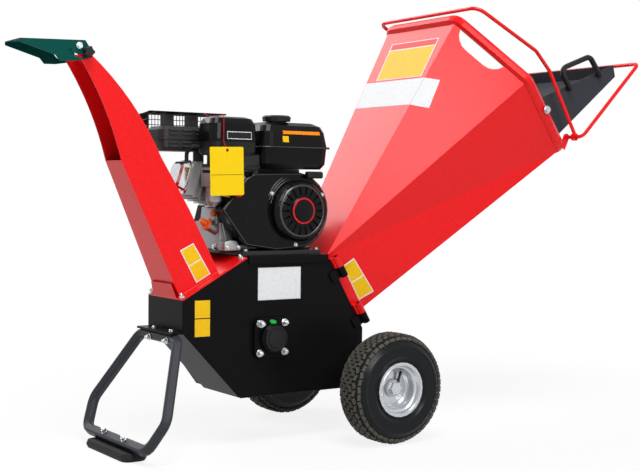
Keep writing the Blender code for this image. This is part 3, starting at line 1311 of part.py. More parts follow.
def make_shroud():
    points = shroud_outline()
    back = CASE_FRONT_Y - 0.004
    shroud = store("blower_housing", side_plate("shroud", points, SHROUD_FRONT_Y, back), black_paint())
    rounded_edges(shroud, 0.005, 2, 50)
    cut(shroud, side_plate("shroud_hollow", inset(points, SHROUD_WALL), SHROUD_FRONT_Y + SHROUD_WALL, back * 0.5))
    front = CRANK + BACK * (SHROUD_FRONT_Y - SHROUD_WALL)
    cut(shroud, cylinder("shroud_mouth", front, front + BACK * SHROUD_WALL * 3, RECOIL_RADIUS - 0.010, 36))
    smooth(shroud)
    seat = CRANK + BACK * (SHROUD_FRONT_Y - SEAT_GAP)
    depth = RECOIL_DEPTH
    wall = SHROUD_WALL
    radius = RECOIL_RADIUS
    profile = [(0, depth), (radius * 0.76, depth), (radius * 0.93, depth * 0.80), (radius, depth * 0.55),
               (radius, 0), (radius - wall, 0), (radius - wall, depth * 0.50), (radius * 0.91, depth * 0.72),
               (radius * 0.74, depth - wall), (0, depth - wall)]
    recoil = store("recoil_cover", turned("recoil", profile, seat, -BACK, 36), black_paint())
    louvres = []
    for number in range(RECOIL_LOUVRES):
        turn = Matrix.Translation(CRANK) @ Matrix.Rotation(math.tau * number / RECOIL_LOUVRES, 4, "Y")
        low = (BADGE_RADIUS * 1.12, SHROUD_FRONT_Y - depth * 1.2, -0.0022)
        high = (RECOIL_RADIUS * 0.90, SHROUD_FRONT_Y - depth * 0.76, 0.0022)
        louvres.append(block("louvre", low, high, turn))
    cut(recoil, merged("louvres", louvres))
    badge = [(0, 0.005), (BADGE_RADIUS - 0.002, 0.005), (BADGE_RADIUS, 0.003), (BADGE_RADIUS, 0), (0, 0)]
    join(recoil, turned("badge", badge, seat - BACK * (depth - 0.0015), -BACK, 36))
    smooth(recoil)
    grip_low = (CRANK_X + 0.020, SHROUD_FRONT_Y - 0.0185, CRANK_Z + 0.0785)
    grip_high = (CRANK_X + 0.066, SHROUD_FRONT_Y - RUNNING_GAP, CRANK_Z + 0.0955)
    grip = rounded_edges(store("starter_grip", block("starter_grip", grip_low, grip_high), black_plastic()), 0.005, 3)
    pivot_at(smooth(grip), [(a + b) / 2 for a, b in zip(grip_low, grip_high)])
    seat = Vector((CRANK_X - 0.168, SHROUD_FRONT_Y - RUNNING_GAP, CRANK_Z + 0.044))
    dial = turned("dial", [(0, 0.012), (0.010, 0.012), (0.012, 0.009), (0.012, 0), (0, 0)], seat, -BACK, 20)
    switch = store("engine_switch", dial, red_paint())
    join(switch, block("dial_bar", (-0.010, -0.016, -0.0022), (0.010, -0.010, 0.0022), Matrix.Translation(seat)))
    pivot_at(smooth(switch), seat)


def make_crank_parts():
    start = CRANK + BACK * (SHROUD_FRONT_Y + 0.006)
    end = CRANK + BACK * (PULLEY_Y + PULLEY_WIDTH / 2)
    shaft = store("crankshaft", cylinder("crankshaft", start, end, CRANK_RADIUS), machined_steel())
    pivot_at(smooth(shaft), CRANK)
    bore = CRANK_RADIUS + SEAT_GAP
    back = CASE_FRONT_Y - RUNNING_GAP * 4
    disc = [(bore, back), (FAN_RADIUS, back), (FAN_RADIUS, back - 0.005), (0.026, back - 0.006),
            (0.024, back - 0.020), (bore, back - 0.020)]
    fan = store("flywheel_fan", turned("fan", disc, CRANK, BACK, 24), cast_aluminium())
    blades = []
    for number in range(FAN_BLADES):
        turn = Matrix.Translation(CRANK) @ Matrix.Rotation(math.tau * number / FAN_BLADES, 4, "Y")
        low = (FAN_RADIUS * 0.62, back - 0.024, -0.0012)
        blades.append(block("blade", low, (FAN_RADIUS * 0.97, back - 0.004, 0.0012), turn))
    join(fan, merged("blades", blades))
    pivot_at(smooth(fan), CRANK)


def make_tank():
    middle = (TANK_X, TANK_Y)
    lip = 0.0025
    inner = 0.010
    levels = [(TANK_BASE_Z, 0.84, 0.80), (TANK_BASE_Z + 0.012, 0.92, 0.90), (TANK_SEAM_Z - lip, 0.95, 0.93)]
    levels = [(z, TANK_LENGTH * a, TANK_WIDTH * b) for z, a, b in levels]
    flange = [(TANK_SEAM_Z - lip + 0.0001, TANK_LENGTH, TANK_WIDTH), (TANK_SEAM_Z + lip, TANK_LENGTH, TANK_WIDTH)]
    upper = [(TANK_SEAM_Z + lip + 0.0001, 0.955, 0.94), (TANK_TOP_Z - 0.022, 0.90, 0.87),
             (TANK_TOP_Z - 0.008, 0.84, 0.79), (TANK_TOP_Z, 0.70, 0.62)]
    levels += flange + [(z, TANK_LENGTH * a, TANK_WIDTH * b) for z, a, b in upper]
    tank = store("fuel_tank", stacked("fuel_tank", levels, middle, inner * 2.4, 4), black_paint())
    neck = Vector((*CAP_PLACE, TANK_TOP_Z - 0.004))
    join(tank, cylinder("tank_neck", neck, neck + UP * 0.007, CAP_RADIUS * 0.70))
    smooth(tank, 40)
    seat = neck + UP * (0.007 + SEAT_GAP)
    ring = []
    heights = ((0, 0.96), (CAP_HEIGHT * 0.75, 1.0), (CAP_HEIGHT, 0.86))
    for height, share in heights:
        row = []
        for step in range(48):
            angle = math.tau * step / 48
            radius = CAP_RADIUS * share * (1 if step % 4 < 2 else 0.965)
            row.append(seat + Vector((radius * math.cos(angle), radius * math.sin(angle), height)))
        ring.append(row)
    pivot_at(smooth(store("fuel_cap", loft("fuel_cap", ring), black_plastic()), 40), seat)


def make_air_cleaner():
    middle = (AIRBOX_X, AIRBOX_Y)
    length, width = AIRBOX_LENGTH, AIRBOX_WIDTH
    levels = [(AIRBOX_BASE_Z, length * 0.88, width * 0.84), (AIRBOX_BASE_Z + 0.008, length * 0.95, width * 0.94),
              (AIRBOX_SPLIT_Z, length * 0.97, width * 0.97)]
    base = store("air_cleaner_base", stacked("air_base", levels, middle, width * 0.2, 3), black_plastic())
    foot = Vector((CARB_X, CARB_Y, CARB_TOP_Z + SEAT_GAP))
    join(base, cylinder("air_elbow", foot, foot + UP * (AIRBOX_BASE_Z + 0.004 - foot.z), 0.017))
    smooth(base, 40)
    levels = [(AIRBOX_SPLIT_Z + SEAT_GAP, length, width), (AIRBOX_SPLIT_Z + 0.006, length, width),
              (AIRBOX_TOP_Z - 0.016, length * 0.95, width * 0.92), (AIRBOX_TOP_Z - 0.004, length * 0.86, width * 0.78),
              (AIRBOX_TOP_Z, length * 0.70, width * 0.56)]
    cover = stacked("air_cover", levels, middle, width * 0.22, 4)
    smooth(store("air_cleaner_cover", cover, black_plastic()), 40)


def make_carburettor():
    low = (CARB_X - 0.022, CARB_Y - 0.020, CARB_TOP_Z - 0.046)
    high = (CARB_X + 0.022, CYLINDER_Y - CYLINDER_HALF - SEAT_GAP, CARB_TOP_Z)
    carb = store("carburettor", block("carburettor", low, high), cast_aluminium())
    rounded_edges(carb, 0.003)
    bowl = [(0, 0.052), (0.017, 0.052), (0.019, 0.040), (0.019, 0.012), (0.012, 0.004), (0.005, 0.004), (0.005, 0), (0, 0)]
    join(carb, turned("bowl", bowl, (CARB_X, CARB_Y, CARB_TOP_Z - 0.092), UP, 24))
    smooth(carb)
    front = CARB_Y - 0.020 - RUNNING_GAP
    for name, x, z in (("choke_lever", CARB_X - 0.010, CARB_TOP_Z - 0.010), ("fuel_valve_lever", CARB_X + 0.010, CARB_TOP_Z - 0.036)):
        seat = Vector((x, front, z))
        lever = store(name, cylinder(name, seat, seat - BACK * 0.007, 0.006, 16), black_plastic())
        low = (-0.034, -0.0065, -0.0035)
        join(lever, block(name + "_arm", low, (0, -0.0025, 0.0035), Matrix.Translation(seat)))
        pivot_at(smooth(lever), seat)
    seat = Vector((CRANK_X - 0.130, SHROUD_FRONT_Y * 0.7, CRANK_Z + 0.0905))
    lever = store("throttle_lever", cylinder("throttle_lever", seat, seat + UP * 0.003, 0.009, 20), black_plastic())
    join(lever, block("throttle_arm", (-0.004, -0.034, 0.0005), (0.004, 0, 0.003), Matrix.Translation(seat)))
    pivot_at(smooth(lever), seat)
    post = cylinder("throttle_post", seat - UP * 0.012, seat - UP * RUNNING_GAP, 0.007, 16)
    join(bpy.data.objects["blower_housing"], post)


def make_muffler():
    middle = (MUFFLER_X, MUFFLER_Y)
    edge = 0.0025
    top = MUFFLER_BASE_Z + MUFFLER_HEIGHT
    seam = MUFFLER_BASE_Z + MUFFLER_HEIGHT / 2
    rows = ((MUFFLER_BASE_Z, 0.86), (MUFFLER_BASE_Z + 0.008, 0.95), (seam - edge, 0.96), (seam - edge + 0.0001, 1),
            (seam + edge, 1), (seam + edge + 0.0001, 0.96), (top - 0.008, 0.95), (top, 0.86))
    levels = [(z, MUFFLER_LENGTH * share, MUFFLER_WIDTH * share) for z, share in rows]
    muffler = store("muffler", stacked("muffler", levels, middle, 0.018, 3), black_paint())
    foot = CRANK + CYLINDER_OUT * (CYLINDER_START + CYLINDER_LENGTH - 0.022) + CYLINDER_UP * (CYLINDER_HALF + 0.0043)
    start = Vector((foot.x, MUFFLER_Y - 0.025, foot.z))
    join(muffler, cylinder("exhaust", start, (start.x, start.y, MUFFLER_BASE_Z + 0.005), 0.013))
    half = GUARD_WIRE * 4
    for number, x in enumerate((MUFFLER_X - 0.030, MUFFLER_X + 0.035)):
        low = (x - half, MUFFLER_Y - half, seam)
        join(muffler, block(f"guard_post_{number}", low, (x + half, MUFFLER_Y + half, GUARD_TOP_Z - GUARD_WIRE - SEAT_GAP)))
    smooth(muffler, 40)


def make_guard():
    """A lattice of wire over the muffler, its left end bent down; drawn flat and then folded."""
    columns = 11
    rows = 9
    shape = bmesh.new()
    full = GUARD_LENGTH + GUARD_DROP
    place = Matrix.Diagonal((full / 2, GUARD_DEPTH / 2, 1, 1))
    bmesh.ops.create_grid(shape, x_segments=columns * 2 + 1, y_segments=rows, size=1, matrix=place)
    cell = full / (columns * 2 + 1)
    holes = []
    for face in shape.faces:
        column = int((face.calc_center_median().x + full / 2) / cell)
        row = int((face.calc_center_median().y + GUARD_DEPTH / 2) / (GUARD_DEPTH / rows))
        if column % 2 and row % 2:
            holes.append(face)
    bmesh.ops.delete(shape, geom=holes, context="FACES")
    right = MUFFLER_X + MUFFLER_LENGTH * 0.69
    left = right - GUARD_LENGTH
    for vert in shape.verts:
        along = full / 2 - vert.co.x
        y = MUFFLER_Y - GUARD_SHIFT + vert.co.y
        down = max(0.0, along - GUARD_LENGTH)
        lean = GUARD_LEAN * (y - MUFFLER_Y) * min(1, along / GUARD_LENGTH)
        vert.co = (right - min(along, GUARD_LENGTH) + lean, y, GUARD_TOP_Z - down)
    bmesh.ops.dissolve_limit(shape, angle_limit=math.radians(1), verts=shape.verts, edges=shape.edges)
    guard = store("muffler_guard", to_mesh(shape, "guard"), black_paint())
    thicken(guard, GUARD_WIRE)
    return guard


def make_small_parts():
    seat = Vector((CRANK_X - 0.180, OIL_Y, CRANK_Z - 0.048)) + OIL_OUT * (0.030 + RUNNING_GAP)
    plug = [(0, 0.022), (OIL_RADIUS * 0.5, 0.022), (OIL_RADIUS * 0.62, 0.007), (OIL_RADIUS * 1.15, 0.006),
            (OIL_RADIUS * 1.15, 0), (0, 0)]
    oil = store("oil_filler_plug", turned("oil_plug", plug, seat, OIL_OUT, 20), orange_plastic())
    pivot_at(smooth(oil), seat)
    end = CYLINDER_START + CYLINDER_LENGTH + 0.018 + SEAT_GAP * 2 + 0.010
    start = CRANK + BACK * (CYLINDER_Y - 0.020) + CYLINDER_OUT * end + CYLINDER_UP * 0.0355
    side = AIRBOX_X - AIRBOX_LENGTH * 0.485 - RUNNING_GAP
    port = Vector((side, CYLINDER_Y - 0.045, AIRBOX_SPLIT_Z - 0.012))
    path = [start, start + UP * 0.020, Vector((side - HOSE_RADIUS * 4.4, port.y, port.z)), port]
    hose = tube("breather_hose", rounded_path(path, HOSE_RADIUS * 1.8, 5), HOSE_RADIUS)
    smooth(store("breather_hose", hose, rubber()), 60)


def make_tag():
    place = frame((TAG_X, TAG_Y, TAG_Z), (math.cos(TAG_TILT), 0, math.sin(TAG_TILT)),
                  (-math.sin(TAG_TILT), 0, math.cos(TAG_TILT)))
    tag = store("tag", outline("tag", section_points(TAG_WIDTH, TAG_HEIGHT, 0.003, 2), TAG_THICKNESS, place), tag_card())
    eye = Vector((TAG_X, TAG_Y, TAG_Z + TAG_HEIGHT / 2 - 0.008))
    cut(tag, cylinder("eyelet", eye - BACK * 0.01, eye + BACK * 0.01, STRING_RADIUS * 1.5, 12))
    front = AIRBOX_Y - AIRBOX_WIDTH / 2 - STRING_RADIUS - RUNNING_GAP
    back = TAG_Y + TAG_THICKNESS / 2 + STRING_RADIUS + RUNNING_GAP
    top = AIRBOX_TOP_Z + STRING_RADIUS + RUNNING_GAP
    edge = MUFFLER_Y - GUARD_SHIFT - GUARD_DEPTH / 2 - STRING_RADIUS
    end = Vector((eye.x, edge, GUARD_TOP_Z - GUARD_WIRE / 2))
    path = [eye - BACK * (STRING_RADIUS * 2 + RUNNING_GAP), eye + BACK * (back - TAG_Y),
            Vector((eye.x, front, AIRBOX_SPLIT_Z)), Vector((eye.x, front, top)),
            Vector((eye.x, AIRBOX_Y + AIRBOX_WIDTH * 0.3, top)), end]
    string = tube("tag_string", rounded_path(path, 0.003, 2), STRING_RADIUS)
    store("tag_string", string, string_red())


def centre_machine():
    """Moves the machine, laid out from its axle, so that its overall box is centred in X."""
    bpy.context.view_layer.update()
    low = TIP_X
    high = (BAIL_PIVOT.x + math.cos(REAR_BAIL_SLOPE) * REAR_BAIL_REACH) + BAIL_RADIUS
    shift = -(low + high) / 2
    for obj in list(bpy.data.collections[PARTS].objects) + list(bpy.data.collections[CUTTERS].objects):
        obj.location.x += shift


def build():
    clear_scene()
    make_housing()
    make_deck()
    make_bearing("front_bearing", -1, BEARING_BOSS_Y, True)
    make_bearing("rear_bearing", 1, GUARD_PLATE_Y - SEAT_GAP, False)
    make_rotor_parts()
    make_stand()
    make_chute()
    make_deflector()
    make_knob()
    make_hopper()
    make_rim()
    make_upper_rail()
    make_rear_bail()
    make_tray()
    make_tray_bolts()
    for name, side in (("near", -1), ("far", 1)):
        make_wheel(name, side)
    make_axle()
    make_belts()
    make_pulley("rotor_pulley", ROTOR, ROTOR_PULLEY_RADIUS, ROTOR_SHAFT_RADIUS)
    make_pulley("crank_pulley", CRANK, CRANK_PULLEY_RADIUS, CRANK_RADIUS)
    make_belt_guard()
    make_crankcase()
    make_cylinder()
    make_shroud()
    make_crank_parts()
    make_tank()
    make_air_cleaner()
    make_carburettor()
    make_muffler()
    make_guard()
    make_small_parts()
    make_tag()
    centre_machine()


build()
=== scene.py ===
# %% [markdown]
# # A petrol wood chipper, dressed for its picture
# The solid model gives every piece its place. This file adds the paint, rubber, metal and plastic,
# and the small pieces that a solid model leaves out: tread blocks, bolts, louvres, wires and
# blank stickers. Everything is in metres, in the model's own frame: X from chute to hopper, Y from
# the starter's side to the belt's side, Z up.

# %% Load the model
import json
import math

import bmesh
import bpy
from mathutils import Matrix, Vector
from mathutils.bvhtree import BVHTree
from mathutils.geometry import convex_hull_2d


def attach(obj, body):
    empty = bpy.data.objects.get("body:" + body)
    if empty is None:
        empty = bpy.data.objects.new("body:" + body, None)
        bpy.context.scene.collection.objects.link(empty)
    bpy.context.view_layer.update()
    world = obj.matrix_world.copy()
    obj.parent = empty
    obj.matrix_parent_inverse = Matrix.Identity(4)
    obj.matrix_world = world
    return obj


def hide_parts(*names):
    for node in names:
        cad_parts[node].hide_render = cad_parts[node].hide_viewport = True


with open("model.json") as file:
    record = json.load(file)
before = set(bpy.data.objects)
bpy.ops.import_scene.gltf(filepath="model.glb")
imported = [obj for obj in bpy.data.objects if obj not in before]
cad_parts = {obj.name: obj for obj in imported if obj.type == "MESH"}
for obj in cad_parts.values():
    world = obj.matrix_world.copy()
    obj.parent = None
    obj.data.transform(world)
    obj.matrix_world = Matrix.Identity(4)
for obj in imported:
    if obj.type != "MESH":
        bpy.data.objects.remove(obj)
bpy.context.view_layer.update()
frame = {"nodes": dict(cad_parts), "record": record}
nodes = frame["nodes"]

# %% [markdown]
# The machine was measured from its wheel's axle. These helpers turn such a measure into a place
# in the model's frame and millimetres into metres, name the directions, and put new data into the
# scene as an object.

# %% Places and directions
SHIFT_X = 0.006008
NEAR, FAR = Vector((0, -1, 0)), Vector((0, 1, 0))
LEFT, RIGHT = Vector((-1, 0, 0)), Vector((1, 0, 0))
UP = Vector((0, 0, 1))


def at(x, y, z):
    """The model's place of a point that was measured from the axle."""
    return Vector((x + SHIFT_X, y, z))


def mm(*points):
    return [tuple(value / 1000 for value in point) for point in points]


def polar(radius, angle):
    return radius * math.cos(angle), radius * math.sin(angle)


def leaning(degrees):
    """The directions along and out of a plane that rises by this angle towards the hopper."""
    u, v = polar(1, math.radians(degrees))
    return Vector((u, 0, v)), Vector((-v, 0, u))


def put(name, data):
    made = bpy.data.objects.new(name, data)
    bpy.context.scene.collection.objects.link(made)
    return made


print("the model starts", SHIFT_X, "m beside the axle's frame")

# %% [markdown]
# The photograph looks along the machine from its chute end, a little above the engine. The lens
# and the place below were solved from the machine's own straight edges. A new camera looks
# straight down; it is rolled, tilted up to the view's pitch and then turned to its heading.

# %% Camera
WIDTH_PX = 640
SENSOR_MM = 36
FOCAL_PX = 1219.6544
VIEW_AZIMUTH, VIEW_PITCH, VIEW_ROLL = map(math.radians, (34.4506, 2.2676, 0.5575))
VIEW_FROM = at(-1.7897, -2.5403, 0.6111)


def make_camera():
    data = bpy.data.cameras.new("photo_view")
    data.sensor_width = SENSOR_MM
    data.lens = FOCAL_PX / WIDTH_PX * SENSOR_MM
    data.clip_start = 0.05
    camera = put("photo_view", data)
    heading = Matrix.Rotation(-VIEW_AZIMUTH, 4, "Z")
    tilt = Matrix.Rotation(math.pi / 2 - VIEW_PITCH, 4, "X")
    roll = Matrix.Rotation(VIEW_ROLL, 4, "Z")
    camera.matrix_world = Matrix.Translation(VIEW_FROM) @ heading @ tilt @ roll
    bpy.context.scene.camera = camera
    return camera


print("camera at", [round(value, 3) for value in make_camera().location])

# %% [markdown]
# A finish is a small tree of nodes. Colours are written as they look on a screen, in sRGB hex, and
# one function turns them into the linear values that the shader wants. Two more add a node and
# fill in its sockets, so each finish below reads as a short list.

# %% Colour and node helpers
def linear(code):
    channels = [int(code[start:start + 2], 16) / 255 for start in (1, 3, 5)]
    return (*(value / 12.92 if value <= 0.04045 else ((value + 0.055) / 1.055) ** 2.4
              for value in channels), 1)


def feed(node, **sockets):
    """Fills sockets by name, or by number after an underscore. A (node, output) pair is a link."""
    for key, value in sockets.items():
        socket = node.inputs[int(key[1:]) if key[0] == "_" else key.replace("_", " ")]
        if isinstance(value, tuple) and isinstance(value[0], bpy.types.Node):
            node.id_data.links.new(value[0].outputs[value[1]], socket)
        else:
            socket.default_value = value


def add(tree, kind, settings=None, **sockets):
    made = tree.nodes.new(kind)
    for key, value in (settings or {}).items():
        setattr(made, key, value)
    feed(made, **sockets)
    return made


def seen(tree):
    """One where a ray comes from the camera, a mirror or glass, and nought elsewhere."""
    light = add(tree, "ShaderNodeLightPath")
    most = (light, "Is Camera Ray")
    for ray in ("Is Glossy Ray", "Is Transmission Ray"):
        most = (add(tree, "ShaderNodeMath", {"operation": "MAXIMUM"}, _0=most, _1=(light, ray)), 0)
    return most


def new_finish(name, colour, roughness):
    material = bpy.data.materials.new(name)
    material.use_nodes = True
    tree = material.node_tree
    shader = tree.nodes["Principled BSDF"]
    feed(shader, Base_Color=linear(colour), Roughness=roughness)
    return material, tree, shader


def grain(tree, shader, size_mm, depth_mm, detail):
    """A noise of real size in millimetres, which also bumps the surface."""
    place = add(tree, "ShaderNodeTexCoord")
    noise = add(tree, "ShaderNodeTexNoise", Vector=(place, "Object"), Scale=1000 / size_mm,
                Detail=detail)
    bump = add(tree, "ShaderNodeBump", Height=(noise, "Fac"), Distance=depth_mm / 1000,
               Strength=1.0)
    feed(shader, Normal=(bump, "Normal"))
    return noise, place


def grained(name, colours, roughness, size_mm, depth_mm, detail, **sockets):
    """A finish whose noise runs between two tones, and between two values of roughness."""
    material, tree, shader = new_finish(name, colours[0], roughness[0])
    noise, _ = grain(tree, shader, size_mm, depth_mm, detail)
    ramp = add(tree, "ShaderNodeValToRGB", Fac=(noise, "Fac"))
    for stop, position, colour in zip(ramp.color_ramp.elements, (0.3, 0.7), colours):
        stop.position, stop.color = position, linear(colour)
    feed(shader, Base_Color=(ramp, "Color"), **sockets)
    if len(roughness) > 1:
        spread = add(tree, "ShaderNodeMapRange", Value=(noise, "Fac"), _3=roughness[0],
                     _4=roughness[1])
        feed(shader, Roughness=(spread, "Result"))
    return material


print("node helpers ready")

# %% [markdown]
# Powder coat is dry paint melted onto steel. It flows into a skin with a faint orange peel a few
# millimetres across, glossy on the red hopper and duller on the black frame.

# %% Paints
def paint(name, colours, roughness, peel_mm, depth_mm, gloss=0.15, coat=0.0, metallic=0.0):
    return grained(name, colours, [roughness], peel_mm, depth_mm, 1.0, Metallic=metallic,
                   Specular_IOR_Level=gloss, Coat_Weight=coat, Coat_Roughness=0.12)


gloss_red = paint("gloss_red_powder_coat", ("#DC1216", "#E4171B"), 0.24, 5, 0.04, 0.2)
satin_black = paint("satin_black_powder_coat", ("#0B0B0C", "#121213"), 0.34, 2.5, 0.05, 0.05)
satin_grey = paint("satin_grey_powder_coat", ("#2B2E33", "#34373D"), 0.42, 2, 0.06)
gloss_black = paint("gloss_black_enamel", ("#08080A", "#0D0D0F"), 0.17, 6, 0.015, 0.13)
# A lighter, much glossier copy of the black enamel for ribs, rings and seams: a painted highlight,
# as the real edges carry the same enamel.
painted_highlight_black = paint("black_enamel_with_painted_highlight", ("#111114", "#17171A"), 0.2, 6, 0.02, 0.8)
deep_green = paint("deep_green_powder_coat", ("#02403A", "#044944"), 0.38, 2.5, 0.05, 0.05)
rim_silver = paint("silver_rim_paint", ("#B4B8BC", "#CDD0D3"), 0.3, 1.5, 0.04, coat=0.3,
                   metallic=0.8)
silver_foil = paint("silver_foil_label", ("#C9CBCE", "#D8DADC"), 0.4, 6, 0.01)
VINYL_TONES = {"yellow": ("#E0B010", "#E6B818"), "white": ("#D4D6D8", "#DCDEE0"),
               "red": ("#D93A3A", "#DE4444"), "orange": ("#F07A12", "#F58A1E"),
               "black": ("#141414", "#1B1B1B")}
vinyl = {word: paint(word + "_vinyl", tones, 0.45, 8, 0.01) for word, tones in VINYL_TONES.items()}
print("paints made, and vinyl in", len(vinyl), "colours")

# %% [markdown]
# Bare metals differ by how they were made: cast aluminium is grainy and dull, zinc plate on bolts
# is bright with a cloudy sheen, and ground steel is smooth. Here the noise also spreads the
# roughness between two values.

# %% Metals
def bare_metal(name, colours, roughness, size_mm, depth_mm, metallic=1.0):
    return grained(name, colours, roughness, size_mm, depth_mm, 3.0, Metallic=metallic)


cast_alloy = bare_metal("sand_cast_aluminium", ("#8E9092", "#B3B5B6"), (0.42, 0.62), 1.2, 0.12)
polished_chrome = bare_metal("polished_chrome", ("#C9CBCD", "#DADBDC"), (0.06, 0.12), 12, 0.05)
bright_zinc = bare_metal("bright_zinc_plate", ("#B9BCC0", "#D4D6D8"), (0.2, 0.34), 3, 0.02)
ground_steel = bare_metal("ground_steel", ("#9DA0A4", "#B8BBBE"), (0.25, 0.4), 2, 0.03)
yellow_brass = bare_metal("turned_brass", ("#B08A3C", "#C9A454"), (0.28, 0.42), 1.5, 0.03)
heat_black = bare_metal("heat_proof_black_steel", ("#1A1A1B", "#2B2A29"), (0.5, 0.7), 1.5, 0.08,
                        0.3)
print("metals made")

# %% [markdown]
# The crankcase is bare casting between a foot that is painted black and a top strip under the tank
# that is black too, as painted shade. Two ramps over the height say where the metal is bare, and
# their smaller value mixes the casting over the black.

# %% Casting with a painted foot and painted shade at the top
FOOT_PAINT_ENDS = (0.4605, 0.4625)
# Above this height the casting is black as painted shade, where the tank overhangs it.
TOP_SHADE_STARTS = (0.625, 0.627)
CASTING_DARK, CASTING_LIGHT = "#7F8286", "#A1A4A7"


def make_casting_painted_and_shaded():
    material, tree, shader = new_finish("sand_cast_aluminium_black_foot_shaded_top", CASTING_DARK, 0.5)
    noise, place = grain(tree, shader, 1.2, 0.12, 3.0)
    height = add(tree, "ShaderNodeSeparateXYZ", Vector=(place, "Object"))
    foot, top = [add(tree, "ShaderNodeMapRange", Value=(height, "Z"), _1=ends[0], _2=ends[1],
                     _3=below, _4=1.0 - below)
                 for ends, below in ((FOOT_PAINT_ENDS, 0.0), (TOP_SHADE_STARTS, 1.0))]
    bare = add(tree, "ShaderNodeMath", {"operation": "MINIMUM"}, _0=(foot, 0), _1=(top, 0))
    mix = {"data_type": "RGBA"}
    tones = add(tree, "ShaderNodeMix", mix, _0=(noise, "Fac"), _6=linear(CASTING_DARK),
                _7=linear(CASTING_LIGHT))
    # One black serves both the painted foot and the painted shade at the top.
    colour = add(tree, "ShaderNodeMix", mix, _0=(bare, 0), _6=linear("#0E0E10"), _7=(tones, 2))
    feed(shader, Base_Color=(colour, 2), Metallic=(bare, 0))
    return material


casting_painted_and_shaded = make_casting_painted_and_shaded()
print("casting is bare from", FOOT_PAINT_ENDS[1], "to", TOP_SHADE_STARTS[0], "m")

# %% [markdown]
# Moulded plastic takes the grain of its mould: a fine leather-like texture that keeps reflections
# soft. The tyre's wall is smooth rubber; its tread is worn grey and much duller.

# %% Plastics and rubber
def moulded(name, colours, roughness, size_mm=0.9, depth_mm=0.05, gloss=0.2):
    return grained(name, colours, [roughness], size_mm, depth_mm, 2.0, Specular_IOR_Level=gloss)


black_abs = moulded("moulded_black_plastic", ("#131315", "#1B1B1D"), 0.42)
orange_pp = moulded("moulded_orange_plastic", ("#E8601A", "#F0702A"), 0.4)
green_pe = moulded("moulded_green_plastic", ("#14A03C", "#1CB348"), 0.4)
red_abs = moulded("moulded_red_plastic", ("#C4161B", "#D01C21"), 0.38)
tyre_rubber = moulded("natural_tyre_rubber", ("#0B0D0F", "#131518"), 0.24, 2, 0.1, 0.16)
tread_rubber = moulded("worn_tread_rubber", ("#3A3935", "#57554E"), 0.7, 1.5, 0.25)
soft_rubber = moulded("soft_black_rubber", ("#161616", "#202020"), 0.65, 1.5, 0.05)
card_yellow = moulded("uncoated_yellow_card", ("#E2BC00", "#EAC500"), 0.62, 0.8, 0.02)
cord_red = moulded("twisted_red_string", ("#A81414", "#C82020"), 0.8, 0.8, 0.2)
print("plastics and rubber made")

# %% [markdown]
# Each solid's record names the kind of surface that it has, and that picks its finish. A few
# solids get a finish of their own.

# %% Dress the solid model's own pieces
FINISH_OF_SLOT = {
    "black_paint": satin_black, "red_paint": gloss_red, "grey_paint": satin_grey,
    "deflector_paint": deep_green, "silver_paint": rim_silver, "black_plastic": black_abs,
    "zinc": bright_zinc, "cast_aluminium": cast_alloy, "machined_steel": ground_steel,
    "rubber": soft_rubber, "orange_plastic": orange_pp, "tag_card": card_yellow,
    "string_red": cord_red,
}
FINISH_OF_NODE = {
    "tyre_near": tyre_rubber, "tyre_far": tyre_rubber, "muffler": heat_black,
    "muffler_guard": heat_black, "air_cleaner_cover": gloss_black, "recoil_cover": gloss_black,
    "blower_housing": gloss_black, "fuel_tank": gloss_black, "engine_switch": red_abs,
    "crankcase": casting_painted_and_shaded, "valve_cover": polished_chrome,
}
for entry in frame["record"]["subparts"]:
    node = nodes[entry["node"]]
    finish = FINISH_OF_NODE.get(entry["node"], FINISH_OF_SLOT[entry["material_slot"]])
    node.data.materials.clear()
    node.data.materials.append(finish)
print("every solid has its finish")

# %% [markdown]
# The floor and the air around are a plain pale studio. Large soft lamps stand in for the
# photographer's boxes, and the background shows white to the camera without lighting the machine.

# %% Floor, lamps and background
FLOOR_HALF = 30
FLOOR_Z = -0.0005
FLOOR_WHITE = 0.85
FADE_START, FADE_END = 0.75, 1.7
AIR_LIGHT = 0.16
LAMPS = (("key_box", (-0.9, -1.6, 3.8), (0, 0, 0.5), 1.8, 105),
         ("front_box", (-0.45, -3.0, 1.8), (0, 0, 0.6), 1.2, 42),
         ("back_box", (-0.75, 2.7, 2.8), (0, 0, 0.6), 2.2, 75))


def make_floor():
    """The floor keeps the machine's shadow near it, and fades to plain white further out."""
    mesh = bpy.data.meshes.new("studio_floor")
    shape = bmesh.new()
    bmesh.ops.create_grid(shape, x_segments=1, y_segments=1, size=FLOOR_HALF)
    shape.to_mesh(mesh)
    shape.free()
    floor = put("studio_floor", mesh)
    floor.location.z = FLOOR_Z
    material, tree, shader = new_finish("pale_floor", "#F2F2F2", 0.9)
    mesh.materials.append(material)
    glow = add(tree, "ShaderNodeEmission", Color=(1, 1, 1, 1), Strength=1.0)
    place = add(tree, "ShaderNodeTexCoord")
    away = add(tree, "ShaderNodeVectorMath", {"operation": "LENGTH"}, _0=(place, "Object"))
    fade = add(tree, "ShaderNodeMapRange", {"interpolation_type": "SMOOTHSTEP"},
               Value=(away, "Value"), _1=FADE_START, _2=FADE_END, _3=FLOOR_WHITE, _4=1.0)
    blend = add(tree, "ShaderNodeMixShader", _0=(fade, "Result"), _1=(shader, 0), _2=(glow, 0))
    only = add(tree, "ShaderNodeMixShader", _0=seen(tree), _1=(shader, 0), _2=(blend, 0))
    feed(tree.nodes["Material Output"], Surface=(only, 0))


def make_air():
    world = bpy.data.worlds.new("studio_air")
    bpy.context.scene.world = world
    world.use_nodes = True
    tree = world.node_tree
    level = add(tree, "ShaderNodeMapRange", Value=seen(tree), _3=AIR_LIGHT, _4=1.0)
    feed(tree.nodes["Background"], Color=(1, 1, 1, 1), Strength=(level, "Result"))


